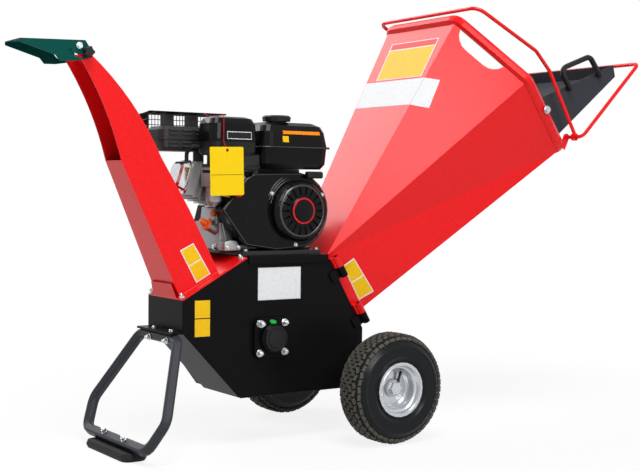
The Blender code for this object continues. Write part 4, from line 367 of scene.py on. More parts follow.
def make_lamp(name, place, target, size, watts):
    data = bpy.data.lights.new(name, "AREA")
    data.size = size
    data.energy = watts
    lamp = put(name, data)
    lamp.location = place
    lamp.rotation_euler = (Vector(target) - Vector(place)).to_track_quat("-Z", "Y").to_euler()


make_floor()
make_air()
for lamp in LAMPS:
    make_lamp(*lamp)
bpy.context.scene.view_settings.view_transform = "Standard"
print("studio ready with", len(LAMPS), "lamps")

# %% [markdown]
# Every small piece starts as an empty mesh that shape helpers fill. Its seams are then closed, its
# faces turned outward and its edges shaded: smooth, but kept sharp above a given angle.

# %% From a shape to a piece
MERGE = 0.000005


def mesh_of(shape, name, sharp):
    bmesh.ops.remove_doubles(shape, verts=shape.verts, dist=MERGE)
    bmesh.ops.recalc_face_normals(shape, faces=shape.faces)
    mesh = bpy.data.meshes.new(name)
    shape.to_mesh(mesh)
    shape.free()
    mesh.shade_smooth()
    mesh.set_sharp_from_angle(angle=math.radians(sharp))
    return mesh


def settle(piece, body, replace=()):
    if replace:
        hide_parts(*replace)
    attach(piece, body)


def finish_mesh(shape, name, material, slot, sharp=32, body="chassis", replace=()):
    mesh = mesh_of(shape, name, sharp)
    mesh.materials.append(material)
    settle(put(name, mesh), body, replace)


print("piece helpers ready")

# %% [markdown]
# Most shapes come from three moves: a profile turned about an axis, a flat outline given some
# thickness, and a tube along a line. The last two are both a skin over a row of equal rings. Two
# short functions make a whole piece of one turned profile, or of some tubes.

# %% Shape helpers
def facing(place, direction):
    """A matrix at place whose Z looks along direction."""
    turn = Vector(direction).to_track_quat("Z", "Y").to_matrix().to_4x4()
    return Matrix.Translation(place) @ turn


def turn_into(shape, profile, place, steps, closed=False):
    """Adds a turned surface: (radius, height) points swept about the matrix's Z."""
    rings = [[shape.verts.new(place @ Vector((*polar(radius, math.tau * step / steps), height)))
              for radius, height in profile] for step in range(steps)]
    count = len(profile)
    for ring, after in zip(rings, rings[1:] + rings[:1]):
        for k in range(count if closed else count - 1):
            up = (k + 1) % count
            shape.faces.new((ring[k], after[k], after[up], ring[up]))


def skin_into(shape, rings, cyclic=False):
    """Adds a skin over rings of points, with caps unless the last ring meets the first."""
    rings = [[shape.verts.new(point) for point in ring] for ring in rings]
    count = len(rings[0])
    for one, two in zip(rings, rings[1:] + (rings[:1] if cyclic else [])):
        for k in range(count):
            shape.faces.new((one[k], one[(k + 1) % count], two[(k + 1) % count], two[k]))
    if not cyclic:
        shape.faces.new(rings[0][::-1])
        shape.faces.new(rings[-1])


def sheet_into(shape, corners, thickness):
    """Adds a flat sheet; thickness is a vector from its one face to the other."""
    skin_into(shape, [corners, [corner + thickness for corner in corners]])


def tube_into(shape, points, radius, sides=8, cyclic=False):
    """Adds a round tube along the points, capped at open ends."""
    turns = [polar(radius, math.tau * k / sides) for k in range(sides)]
    first, last = (points[-1], points[0]) if cyclic else (points[0], points[-1])
    side = None
    rings = []
    for before, point, after in zip([first] + points[:-1], points, points[1:] + [last]):
        ahead = (after - before).normalized()
        side = side or ahead.orthogonal()
        side = (side - ahead * side.dot(ahead)).normalized()
        other = ahead.cross(side)
        rings.append([point + side * u + other * v for u, v in turns])
    skin_into(shape, rings, cyclic)


def eased(points, radius, steps=3):
    """The points with each inner corner replaced by a short curve."""
    made = [points[0]]
    for before, here, after in zip(points, points[1:], points[2:]):
        back, forth = before - here, after - here
        reach = min(radius, back.length / 2, forth.length / 2)
        start, end = here + back.normalized() * reach, here + forth.normalized() * reach
        for step in range(steps + 1):
            t = step / steps
            made.append(start * (1 - t) ** 2 + here * 2 * t * (1 - t) + end * t ** 2)
    return made + [points[-1]]


def turned(name, profile, place, steps, material, slot, closed=False, **more):
    shape = bmesh.new()
    turn_into(shape, profile, place, steps, closed)
    finish_mesh(shape, name, material, slot, **more)


def tubes(name, lines, radius, material, slot, sides=8, cyclic=False, sharp=50):
    shape = bmesh.new()
    for line in lines:
        tube_into(shape, line, radius, sides, cyclic)
    finish_mesh(shape, name, material, slot, sharp)


print("shape helpers ready")

# %% [markdown]
# The yellow card hangs on a red string. The string leaves the wire guard over the muffler, lies
# across the air cleaner's lid and falls to the card's hole, so its line is written as a route and
# its corners are rounded a little, as a limp string would round them.

# %% Tag string
STRING_RADIUS = 0.0009
STRING_X = -0.3745
STRING_ROUTE = ((0.0141, 0.7835), (-0.0076, 0.7754), (-0.0794, 0.7754), (-0.0794, 0.716),
                (-0.0943, 0.694), (-0.0983, 0.694))


def make_string():
    points = eased([at(STRING_X, y, z) for y, z in STRING_ROUTE], 0.003)
    length = sum((after - before).length for before, after in zip(points, points[1:]))
    curve = bpy.data.curves.new("tag_string_curve", "CURVE")
    curve.dimensions = "3D"
    curve.bevel_depth = STRING_RADIUS
    curve.bevel_resolution = 2
    curve.use_fill_caps = True
    line = curve.splines.new("POLY")
    line.points.add(len(points) - 1)
    for point, place in zip(line.points, points):
        point.co = (*place, 1)
    curve.materials.append(cord_red)
    piece = put("red_string", curve)
    settle(piece, "chassis", ("tag_string",))
    return length


print("string of", round(make_string(), 4), "m")

# %% [markdown]
# Things that repeat are copied by one Geometry Nodes tree. It takes a cloud of places, each with
# the way out of the surface, the way along it and a size, and stands a copy of a small shape on
# every place. A fixed seed turns each hexagon a little, since no two nuts stop at one angle.

# %% Geometry Nodes tree for copies
def make_copy_tree():
    tree = bpy.data.node_groups.new("copies_on_places", "GeometryNodeTree")
    for name, kind in (("Places", "Geometry"), ("Shape", "Object"), ("Finish", "Material"),
                       ("Spin", "Float"), ("Seed", "Int")):
        tree.interface.new_socket(name, in_out="INPUT", socket_type="NodeSocket" + kind)
    tree.interface.new_socket("Copies", in_out="OUTPUT", socket_type="NodeSocketGeometry")
    given = add(tree, "NodeGroupInput")
    out, along, size = [
        add(tree, "GeometryNodeInputNamedAttribute", {"data_type": "FLOAT_VECTOR"}, Name=name)
        for name in ("out", "along", "size")]
    upright = add(tree, "FunctionNodeAlignRotationToVector", {"axis": "Z"},
                  Vector=(out, "Attribute"))
    aimed = add(tree, "FunctionNodeAlignRotationToVector", {"axis": "X", "pivot_axis": "Z"},
                Rotation=(upright, "Rotation"), Vector=(along, "Attribute"))
    angle = add(tree, "FunctionNodeRandomValue", {"data_type": "FLOAT"}, _2=0.0,
                _3=(given, "Spin"), _8=(given, "Seed"))
    spun = add(tree, "FunctionNodeAxisAngleToRotation", Axis=(0, 0, 1), Angle=(angle, 1))
    whole = add(tree, "FunctionNodeRotateRotation", {"rotation_space": "LOCAL"},
                Rotation=(aimed, "Rotation"), Rotate_By=(spun, "Rotation"))
    shape = add(tree, "GeometryNodeObjectInfo", Object=(given, "Shape"))
    stood = add(tree, "GeometryNodeInstanceOnPoints", Points=(given, "Places"),
                Instance=(shape, "Geometry"), Rotation=(whole, "Rotation"),
                Scale=(size, "Attribute"))
    real = add(tree, "GeometryNodeRealizeInstances", Geometry=(stood, "Instances"))
    dressed = add(tree, "GeometryNodeSetMaterial", Geometry=(real, "Geometry"),
                  Material=(given, "Finish"))
    add(tree, "NodeGroupOutput", Copies=(dressed, "Geometry"))
    return tree


COPY_TREE = make_copy_tree()
print("copy tree has", len(COPY_TREE.nodes), "nodes")

# %% [markdown]
# The tree runs as a modifier on a mesh that holds the places. Its result is taken as a plain mesh
# for the piece, and the holder goes.

# %% Copies as one piece
def new_shape(name, fill):
    """A small shape to be copied. fill(shape) adds faces about the origin, Z pointing outward."""
    shape = bmesh.new()
    fill(shape)
    return put(name, mesh_of(shape, name, 32))


def copies(name, shape, places, material, spin=0.0, seed=1, body="chassis"):
    """places are (point, out, along, size); size is one number or three."""
    points, outs, alongs, sizes = zip(*places)
    sizes = [size if isinstance(size, tuple) else (size,) * 3 for size in sizes]
    mesh = bpy.data.meshes.new(name + "_places")
    mesh.from_pydata(points, [], [])
    for key, rows in (("out", outs), ("along", alongs), ("size", sizes)):
        layer = mesh.attributes.new(key, "FLOAT_VECTOR", "POINT")
        layer.data.foreach_set("vector", [value for row in rows for value in row])
    holder = put(name + "_places", mesh)
    modifier = holder.modifiers.new("copies", "NODES")
    modifier.node_group = COPY_TREE
    values = {"Shape": shape, "Finish": material, "Spin": spin, "Seed": seed}
    for socket in COPY_TREE.interface.items_tree:
        if socket.name in values:
            modifier[socket.identifier] = values[socket.name]
    graph = bpy.context.evaluated_depsgraph_get()
    made = bpy.data.meshes.new_from_object(holder.evaluated_get(graph))
    made.name = name
    bpy.data.objects.remove(holder, do_unlink=True)
    settle(put(name, made), body)


print("copy helper ready")

# %% [markdown]
# The fasteners are hexagon bolts and nuts on washers. One nut with its stud and one bolt head are
# turned and cut at their real M8 size, and one rivet's dome beside them.

# %% Shapes of nuts, bolts and rivets
ACROSS_FLATS = 0.013
THREAD_PITCH = 0.00125
RIM_EASE = 0.0003


def hexagon_into(shape, height, low, chamfer=0.0006):
    corner, top, ease = ACROSS_FLATS / math.sqrt(3), low + height, chamfer * 0.6
    rows = ((corner - chamfer, low), (corner, low + ease), (corner, top - ease),
            (corner - chamfer, top))
    skin_into(shape, [[(*polar(radius, math.tau * k / 6), z) for k in range(6)]
                      for radius, z in rows])


def washer_into(shape, radius, thick):
    turn_into(shape, [(0, 0), (radius - RIM_EASE, 0), (radius, RIM_EASE),
                      (radius, thick - RIM_EASE), (radius - RIM_EASE, thick), (0, thick)],
              Matrix(), 28)


def nut_shape(shape):
    washer_into(shape, 0.0088, 0.0016)
    hexagon_into(shape, 0.0066, 0.0016)
    thread = [(0, 0.0082)]
    for turn in range(5):
        low = 0.0082 + turn * THREAD_PITCH
        thread += [(0.0034, low), (0.004, low + 0.0006)]
    turn_into(shape, thread + [(0.0032, 0.0148), (0, 0.015)], Matrix(), 16)


def head_shape(shape):
    washer_into(shape, 0.0085, 0.0014)
    hexagon_into(shape, 0.005, 0.0014, 0.0008)
    turn_into(shape, mm((0, 6.4), (5.2, 6.4), (4.9, 6.7), (0, 6.7)), Matrix(), 20)


def dome_shape(shape):
    arc = [polar(1, math.pi / 2 * k / 6) for k in range(6)]
    rows = [(0.0075 * u, 0.0006 + 0.0034 * v) for u, v in arc]
    turn_into(shape, [(0, 0), (0.0075, 0)] + rows + [(0, 0.004)], Matrix(), 24)


NUT = new_shape("hexagon_nut", nut_shape)
HEAD = new_shape("hexagon_head", head_shape)
DOME = new_shape("dome_head", dome_shape)
print("a nut, a bolt head and a dome shaped")

# %% [markdown]
# They are copied wherever the machine is bolted together. Each place says which way the bolt
# points and how large it is, measured in M8 bolts.

# %% Nuts and bolts
ANY_TURN = math.radians(60)
CRANK_X, CRANK_Z = -0.16, 0.5536
STAND_OUT = Vector((-0.63, 0, 0.78))
CHUTE_ALONG, CHUTE_OUT = leaning(28.6)


def chute_face(along, y, out):
    """A place on the sloping top that the chute's flange lies on."""
    return at(-0.483, y, 0.349) + CHUTE_ALONG * along + CHUTE_OUT * out


def nut_places():
    bearings = [(at(x, side * 0.0989, z), Vector((0, side, 0)), UP, 1.0)
                for x in (-0.285, -0.215) for z in (0.218, 0.288) for side in (-1, 1)]
    second = [(at(-0.285, -0.1066, 0.288), NEAR, UP, 1.0)]
    chute = [(chute_face(along, y, 0.0043), CHUTE_OUT, RIGHT, 0.8)
             for along in (0.008, 0.184) for y in (-0.077, 0.077)]
    stand = [(at(-0.5095, y, 0.2575), LEFT, UP, 0.85) for y in (-0.06, 0.026)]
    foot = [(at(-0.6118, y, 0.0413), STAND_OUT, FAR, 0.85) for y in (-0.055, 0.05)]
    return bearings + second + chute + stand + foot


def head_places():
    stand = [(at(-0.4975, y, 0.278), UP, RIGHT, 0.78) for y in (-0.06, 0.026)]
    engine = [(at(x, y, 0.4573), UP, RIGHT, 0.8) for x in (-0.297, -0.095)
              for y in (-0.0525, 0.112)]
    turns = [polar(0.083, math.radians(angle)) for angle in (150, 268, 28)]
    cover = [(at(CRANK_X + x, -0.064, CRANK_Z + z), NEAR, UP, 0.62) for x, z in turns]
    return stand + engine + cover


copies("zinc_nuts", NUT, nut_places(), bright_zinc, ANY_TURN, 3)
copies("zinc_bolts", HEAD, head_places(), bright_zinc, ANY_TURN, 5)
print(len(nut_places()), "nuts and", len(head_places()), "bolt heads")

# %% [markdown]
# A turf tyre is a smooth carcass with rows of low rubber blocks. The carcass is one turned profile
# with the fine rings of its mould on the wall; the blocks are wavy, and each row is turned by half
# a step against its neighbour, which is what makes the tread look woven.

# %% Tyres
TYRE_RADIUS = 0.1325
WHEEL_Y = 0.23875
BLOCK_HEIGHT = 0.0052
BLOCK_ROOT = 0.0006
BLOCK_LEAN = 0.34
BLOCKS_ROUND = 44
CROWN = TYRE_RADIUS - BLOCK_HEIGHT
WALL = mm((62.2, 33.5), (66.2, 37.2), (68.2, 37.5), (69.4, 38.6), (70.8, 37.5), (78.2, 40.5),
          (79.2, 41.3), (80.7, 41), (88, 42.4), (96, 42.7), (104, 42), (105.2, 42.8), (106.4, 41.7),
          (112, 39.8), (118, 36), (123, 30.5), (126.1, 24), (127, 14))
# Each row of blocks: its offset from the middle, its turn in steps, how far the blocks tip over
# the shoulder, how much lower they stand than the middle ones, and their width.
BLOCK_ROWS = ((0.0, 0.0, 0.0, 0.0, 0.86), (0.0112, 0.5, 0.12, 0.0001, 0.86),
              (0.0224, 0.0, 0.42, 0.001, 0.86), (0.0328, 0.5, 0.95, 0.0072, 0.95))


def block_shape(shape):
    """A wavy block about 17 mm long and 10 mm wide, a little narrower at its top."""
    flat = mm((-8.6, -3.4), (-3, -5), (3, -3.4), (8.6, -5), (8.6, 3.6), (3, 5.2), (-3, 3.6),
              (-8.6, 5.2))
    skin_into(shape, [[(x, y, -BLOCK_ROOT) for x, y in flat],
                      [(x * 0.93, y * 0.88, BLOCK_HEIGHT + 0.0005) for x, y in flat]])


def block_row(wheel, sign, offset, phase, tip, depth, width):
    """The places of one row, sign being the side of the tyre's middle that it is on."""
    places = []
    turn = wheel.to_3x3()
    side = Vector((0, 0, sign))
    for step in range(BLOCKS_ROUND):
        u, v = polar(1, math.tau * (step + phase) / BLOCKS_ROUND)
        radial = Vector((u, v, 0))
        out = (radial * math.cos(tip) + side * math.sin(tip)).normalized()
        spot = wheel @ (radial * (CROWN - depth - BLOCK_ROOT) + side * offset)
        lean = BLOCK_LEAN * (1 if step % 2 else -1)
        forward = (Vector((-v, u, 0)) + side * lean * math.cos(tip)).normalized()
        places.append((spot, turn @ out, turn @ forward, (0.88, width, 1.0)))
    return places


def make_tyre(side, word):
    wheel = facing(at(0, WHEEL_Y * side, TYRE_RADIUS), (0, side, 0))
    inner_wall = [(radius, -height) for radius, height in reversed(WALL)]
    turned(f"tyre_carcass_{word}", WALL + [(CROWN, 0.0)] + inner_wall, wheel, 96, tyre_rubber,
           "rubber", True, sharp=40, body=f"wheel_{word}", replace=(f"tyre_{word}",))
    places = []
    for row in BLOCK_ROWS:
        for sign in ((1, -1) if row[0] else (1,)):
            places += block_row(wheel, sign, *row)
    copies(f"tread_blocks_{word}", BLOCK, places, tread_rubber, body=f"wheel_{word}")
    return len(places)


BLOCK = new_shape("tread_block", block_shape)
print("tread blocks:", make_tyre(-1, "near"), make_tyre(1, "far"))

# %% [markdown]
# Each pressed rim steps inward twice, and carries a rubber valve, a hub collar and four rivets.

# %% Rim steps, hub collars and valves
RIM_STEPS = mm((58.8, 1.8), (58.8, 39.2), (57.6, 39.9), (56.3, 38.5), (55.6, 30), (53, 26.6),
               (50.4, 26.2), (49.2, 24), (48.4, 15), (46.2, 7), (41, 3.4), (40, 1.8))
HUB_COLLAR = mm((17.6, 1.8), (17.6, 10.5), (18.6, 11.4), (20, 11), (20.6, 9.5), (22.2, 1.8))
VALVE = mm((0, 0), (5, 0), (4.6, 3), (3.2, 6), (3, 14), (2.6, 14.5), (2.6, 16), (3.6, 16.2),
           (3.6, 24.5), (3.2, 25.5), (0, 25.7))
RIVET_CIRCLE = 0.0305


def make_rim_detail(side, word):
    centre = at(0, WHEEL_Y * side, TYRE_RADIUS)
    out = Vector((0, side, 0))
    shape = bmesh.new()
    turn_into(shape, RIM_STEPS, facing(centre, out), 72, closed=True)
    turn_into(shape, HUB_COLLAR, facing(centre, out), 48, closed=True)
    finish_mesh(shape, f"rim_steps_{word}", rim_silver, "silver_paint", 50, f"wheel_{word}")
    start = centre + Vector((0.014, side * 0.0085, 0.015))
    turned(f"tyre_valve_{word}", VALVE, facing(start, (0.24, side * 0.15, 0.95)), 20, soft_rubber,
           "rubber", body=f"wheel_{word}")
    spots = [polar(RIVET_CIRCLE, math.radians(30 + 90 * step)) for step in range(4)]
    rivets = [(centre + Vector((x, side * 0.0016, z)), out, RIGHT, 0.55) for x, z in spots]
    copies(f"rim_rivets_{word}", DOME, rivets, bright_zinc, body=f"wheel_{word}")


make_rim_detail(-1, "near")
make_rim_detail(1, "far")
print("rims detailed")

# %% [markdown]
# The stickers and the data plate are left blank. Each is a thin sheet of vinyl with its own
# outline, and may carry slightly smaller printed fields. A ray finds the paint under each corner,
# and the sheet is laid a fraction of a millimetre off it.

# %% Blank stickers
SHEET, FIELD, GAP = 0.0003, 0.0002, 0.0002
RAY_START = 0.06


def sticker(name, corners, lift, material, slot, body="chassis", thickness=SHEET):
    """corners run round the sheet; lift is the surface's outward direction."""
    shape = bmesh.new()
    sheet_into(shape, [corner + lift * GAP for corner in corners], lift * thickness)
    finish_mesh(shape, name, material, slot, body=body)


def dropped(node, points, outward):
    """The points moved along the outward direction until they lie on a solid's surface."""
    mesh = nodes[node].data
    tree = BVHTree.FromPolygons([vert.co for vert in mesh.vertices],
                                [face.vertices for face in mesh.polygons])
    return [tree.ray_cast(point + outward * RAY_START, -outward)[0] or point for point in points]


def field(corners, share_u, share_v):
    """Four corners of a smaller field, by shares along the sheet's first and second side."""
    a, b, c, d = corners
    (u0, u1), (v0, v1) = share_u, share_v
    return [a.lerp(b, u).lerp(d.lerp(c, u), v) for u, v in ((u0, v0), (u1, v0), (u1, v1), (u0, v1))]


def label(name, node, corners, outward, ground, fields=(), body="chassis"):
    """A blank sticker: its ground colour, and printed fields (finish, shares) a hair above it."""
    outward = Vector(outward).normalized()
    slot = "red_paint" if node in ("hopper", "chute") else "black_paint"
    sheet = dropped(node, corners, outward)
    sticker(name, sheet, outward, ground, slot, body)
    for number, (finish, share_u, share_v) in enumerate(fields):
        place = [corner + outward * SHEET for corner in field(sheet, share_u, share_v)]
        sticker(f"{name}_field_{number}", place, outward, finish, slot, body, FIELD)


def wall(y, *places):
    """Corners (x, z) that all lie at one depth y."""
    return [at(x, y, z) for x, z in places]


def oblong(y, x0, x1, z0, z1):
    return wall(y, (x0, z0), (x1, z0), (x1, z1), (x0, z1))


def two_fields(edge_u, edge_v):
    """Two yellow fields, one above the other, with these margins to the sheet's edges."""
    return [(vinyl["yellow"], (edge_u, 1 - edge_u), shares)
            for shares in ((edge_v, 0.485), (0.515, 1 - edge_v))]


print("sticker helpers ready")

# %% [markdown]
# First the stickers on the housing, the chute and the hopper's foot, all on upright walls.

# %% Stickers on the walls
label("housing_blank_label", "chipper_housing", oblong(-0.087, -0.453, -0.411, 0.264, 0.35),
      NEAR, vinyl["black"], two_fields(0.03, 0.015))
label("data_plate", "chipper_housing", oblong(-0.087, -0.283, -0.1625, 0.342, 0.419), NEAR,
      silver_foil, [(vinyl["white"], (0.02, 0.98), (0.03, 0.97))])
label("chute_blank_label", "chute",
      wall(-0.06, (-0.4335, 0.387), (-0.396, 0.4073), (-0.4391, 0.4795), (-0.4734, 0.4629)),
      NEAR, vinyl["white"], two_fields(0.06, 0.03))
label("hopper_blank_label", "hopper",
      wall(-0.09, (0.018, 0.329), (0.059, 0.3502), (-0.0034, 0.4357), (-0.0325, 0.4165)),
      NEAR, vinyl["white"], two_fields(0.05, 0.03), "hopper_group")
print("wall stickers laid")

# %% [markdown]
# The hopper's top panel slopes and widens towards the mouth, so its stickers are placed by their
# share of the way up. The white one goes on round the fold and onto the next facet.

# %% Stickers on the hopper
PANEL_OUT, FACET_OUT = (-0.862, 0, 0.507), (-0.426, -0.891, 0.155)
PANEL_LOW, PANEL_HIGH = at(-0.0799, 0, 0.4419), at(0.27, 0, 1.0359)
WHITE_LOW, WHITE_HIGH = 0.64, 0.757
FOLD_GAP = 0.0004


def panel(share, y):
    """A place on the hopper's top panel, by its share of the way from the housing to the mouth."""
    return PANEL_LOW.lerp(PANEL_HIGH, share) + Vector((0, y, 0))


def panel_half(share):
    return 0.076 + 0.064 * share


label("hopper_panel_label", "hopper",
      [panel(0.765, 0.083), panel(0.765, -0.108), panel(0.938, -0.105), panel(0.938, 0.093)],
      PANEL_OUT, vinyl["white"], [(vinyl["yellow"], (0.02, 0.98), (0.02, 0.8)),
                                  (vinyl["red"], (0.02, 0.98), (0.83, 0.98))], "hopper_group")
half_low, half_high = panel_half(WHITE_LOW), panel_half(WHITE_HIGH)
label("hopper_white_label", "hopper",
      [panel(WHITE_LOW, half_low - 0.002), panel(WHITE_LOW, FOLD_GAP - half_low),
       panel(WHITE_HIGH, FOLD_GAP - half_high), panel(WHITE_HIGH, half_high - 0.002)],
      PANEL_OUT, vinyl["white"], body="hopper_group")
label("hopper_white_label_fold", "hopper",
      [panel(WHITE_LOW, -FOLD_GAP - half_low), at(0.188, -0.14, 0.814),
       at(0.2206, -0.1424, 0.8864), panel(WHITE_HIGH, -FOLD_GAP - half_high)],
      FACET_OUT, vinyl["white"], body="hopper_group")
print("hopper stickers laid")

# %% [markdown]
# Welded sheet metal shows its making at the joints. A weld bead is a row of small overlapping
# ripples; here a rippled tube follows each seam, half sunk in the corner between the two sheets.

# %% Weld beads
RIPPLE_PITCH = 0.0032
RIPPLE_WAIST = 0.86
HOUSING_SIDE, SEAM_LIFT = -0.0868, 0.0045
HOUSING_SEAMS = {"front": ((-0.4828, 0.28), (-0.4828, 0.346)),
                 "base": ((-0.33, 0.1147), (-0.042, 0.1147)),
                 "slope": ((-0.4825, 0.2762), (-0.3315, 0.1152))}
CHUTE_SEAMS = {"front": ((0.0095, -0.06), (0.0095, 0.06)),
               "side": ((0.0105, -0.061), (0.1225, -0.061))}


def bead(name, start, end, radius, material, slot):
    run = end - start
    count = max(3, int(run.length / RIPPLE_PITCH) * 2)
    ripples = [(radius * (1.0 if step % 2 else RIPPLE_WAIST),
                run.length * (0.002 + 0.996 * step / count)) for step in range(count + 1)]
    turned(name, [(0, 0)] + ripples + [(0, run.length)], facing(start, run.normalized()), 10,
           material, slot, sharp=60)


for word, ends in CHUTE_SEAMS.items():
    start, end = [chute_face(along, y, SEAM_LIFT) for along, y in ends]
    bead(f"weld_chute_{word}", start, end, 0.0022, gloss_red, "red_paint")
for word, ends in HOUSING_SEAMS.items():
    bead(f"weld_housing_{word}", *wall(HOUSING_SIDE, *ends), 0.0016, satin_black, "black_paint")
print("weld beads laid:", len(CHUTE_SEAMS) + len(HOUSING_SEAMS))

# %% [markdown]
# A short folded plate stands on the chute's flange and leans against the chute's narrow side.

# %% Folded plate at the chute's foot
def make_foot_plate():
    low, high = at(-0.4832, 0, 0.3541), at(-0.4928, 0, 0.3868)
    rise = (high - low).normalized()
    wide, narrow, fold, thick = FAR * 0.057, FAR * 0.049, RIGHT * 0.003, 0.0022
    edge = high - rise * thick
    shape = bmesh.new()
    sheet_into(shape, [low - wide, low + wide, high + narrow, high - narrow],
               Vector((-rise.z, 0, rise.x)) * thick)
    sheet_into(shape, [edge - narrow, edge + narrow, edge + narrow + fold, edge - narrow + fold],
               UP * thick)
    finish_mesh(shape, "chute_foot_plate", gloss_red, "red_paint")
    return (high - low).length


print("foot plate of", round(make_foot_plate(), 4), "m")

# %% [markdown]
# Four small turned pieces: the cap of the rotor's bearing with a groove round it, the green plug
# in its grease hole, and the starter's plain badge, a dark disc in a red ring.

# %% Bearing cap, grease plug and badge
BADGE = facing(at(CRANK_X, -0.0946, CRANK_Z), NEAR)
turned("bearing_dust_cap", mm((29, 0), (30, 0.4), (30, 2.2), (26.5, 2.6), (25.5, 1.2), (22.5, 1.2),
                              (21.5, 3), (6, 3.6), (0, 3.6)),
       facing(at(-0.25, -0.118, 0.253), NEAR), 48, black_abs, "black_paint")
turned("grease_plug", mm((0, 0), (6, 0), (6, 4.5), (8.5, 5), (8.5, 7.5), (7.2, 8.8), (0, 9)),
       facing(at(-0.252, -0.104, 0.2858), (0, -0.35, 1)), 24, green_pe, "black_plastic")
turned("badge_ring", mm((0, 0), (31.5, 0), (31.5, 1.2), (30.6, 1.8), (28.2, 1.8), (27.7, 1.2),
                        (0, 1.2)), BADGE, 64, red_abs, "red_paint")
turned("badge_field", mm((0, 1), (27.4, 1), (27.4, 2), (26.8, 2.3), (0, 2.3)), BADGE, 64,
       gloss_black, "black_plastic")
print("bearing and badge dressed")

# %% [markdown]
# The crankcase is a casting with more form than a plain lump: a foot for the cylinder above it, a
# box for the oil level switch low down, and ribs along its corner. The foot and the box are each a
# flat outline with some thickness whose edges are eased by a bevel, as sand casting leaves them;
# the ribs are tubes.

# %% Castings on the crankcase
def cast_lump(name, outline, near, far, ease, material):
    """outline is (x, z) points; the lump fills near to far in Y."""
    shape = bmesh.new()
    sheet_into(shape, wall(near, *outline), FAR * (far - near))
    bmesh.ops.recalc_face_normals(shape, faces=shape.faces)
    bmesh.ops.bevel(shape, geom=list(shape.edges), offset=ease, segments=3, affect="EDGES",
                    profile=0.5)
    finish_mesh(shape, name, material, "cast_aluminium", 40)


cast_lump("oil_switch_box", mm((-350, 458), (-304, 458), (-305, 465), (-317, 482), (-334, 484),
                               (-350, 480)),
          -0.045, -0.015, 0.0022, cast_alloy)
cast_lump("cylinder_foot", mm((-353.5, 520), (-300, 520), (-300, 560), (-348, 560)),
          -0.006, 0.072, 0.002, casting_painted_and_shaded)
ribs = [wall(-0.0165, (x, 0.524), (x + lean * 0.4, 0.505), (x + lean, 0.482))
        for x, lean in ((-0.3468, 0.0), (-0.3405, 0.0105))]
tubes("crankcase_ribs", [eased(rib, 0.008, 5) for rib in ribs], 0.0024, cast_alloy,
      "cast_aluminium", 10)
turned("oil_dipstick_cap", mm((0, 0), (8, 0), (8.8, 0.6), (8.8, 4.2), (7.8, 5.2), (0, 5.4)),
       facing(at(-0.3525, 0.004, 0.547), (-1, 0, 0.1)), 28, orange_pp, "orange_plastic")
copies("drain_bolts", HEAD,
       [(at(-0.348, 0.006, 0.4655), LEFT, UP, 0.8), (at(-0.343, -0.045, 0.4665), NEAR, UP, 0.6),
        (at(-0.313, -0.045, 0.4665), NEAR, UP, 0.6)], bright_zinc, ANY_TURN, 9)
print("castings dressed")

# %% [markdown]
# The engine's small lines are the rubber fuel hose and the thin governor wire and spring. Each is
# a tube along an eased route; the spring's route is a helix.

# %% Hoses and wires
def hose(name, route, radius, material, slot, ease=0.012, sides=12):
    tubes(name, [eased([at(*place) for place in route], ease, 6)], radius, material, slot, sides)


def spring(name, start, end, radius, wire, turns, a_turn=12):
    place, length, steps = facing(start, end - start), (end - start).length, turns * a_turn
    helix = [place @ Vector((*polar(radius, math.tau * k / a_turn), length * k / steps))
             for k in range(steps + 1)]
    tubes(name, [helix], wire, bright_zinc, "zinc", 6, sharp=60)


hose("fuel_hose", [(-0.255, -0.05, 0.662), (-0.27, -0.057, 0.6512), (-0.33, -0.062, 0.6512),
                   (-0.334, -0.062, 0.62), (-0.356, -0.05, 0.612)], 0.0034, soft_rubber, "rubber")
hose("governor_rod", [(-0.284, -0.052, 0.6475), (-0.315, -0.052, 0.6475), (-0.352, -0.05, 0.64)],
     0.001, bright_zinc, "zinc", 0.004, 8)
hose("fuel_tap_pipe", [(-0.365, -0.057, 0.604), (-0.365, -0.057, 0.59), (-0.34, -0.057, 0.585)],
     0.0022, yellow_brass, "zinc", 0.006, 10)
spring("governor_spring", at(-0.292, -0.047, 0.6505), at(-0.338, -0.047, 0.6505), 0.0026, 0.0005,
       16)
print("hoses, rod and spring made")

# %% [markdown]
# The muffler's silencer box has rows of pressed louvres on its near side. One louvre is a raised
# lip with an open lower edge; the copy tree repeats it.

# %% Louvres
LIP_STEPS = 6
LIP_HALF, LIP_TAPER, LIP_DEEP, LIP_HIGH = 0.0135, 0.0035, 0.004, 0.0032


def louvre_shape(shape):
    """A quarter of a round lip that narrows towards its top, on a flat base."""
    arc = [polar(1, math.pi / 2 * k / LIP_STEPS) for k in range(LIP_STEPS + 1)]
    left, right = [[shape.verts.new((side * (LIP_HALF - LIP_TAPER * k / LIP_STEPS),
                                     LIP_DEEP * y, LIP_HIGH * z)) for k, (y, z) in enumerate(arc)]
                   for side in (-1, 1)]
    for k in range(LIP_STEPS):
        shape.faces.new((left[k], right[k], right[k + 1], left[k + 1]))
    low_left, low_right = [shape.verts.new((side * LIP_HALF, 0, 0)) for side in (-1, 1)]
    shape.faces.new((left[0], low_left, low_right, right[0]))
    shape.faces.new([low_left] + left)
    shape.faces.new([low_right] + right[::-1])
    shape.faces.new((low_left, left[-1], right[-1], low_right))


LOUVRE = new_shape("pressed_louvre", louvre_shape)
louvres = [(at(x, 0.0344, z), NEAR, RIGHT, 1.0) for x in (-0.445, -0.41, -0.375)
           for z in (0.7035, 0.7125, 0.7325, 0.7415)]
copies("muffler_louvres", LOUVRE, louvres, heat_black)
print(len(louvres), "louvres")

# %% [markdown]
# The guard over the muffler is a lattice of thin wire in a thicker frame. Its wires run along the
# top and bend down at the left end, and a short side hangs at the back; each wire is a tube, and
# the ends lean as the guard was cut.

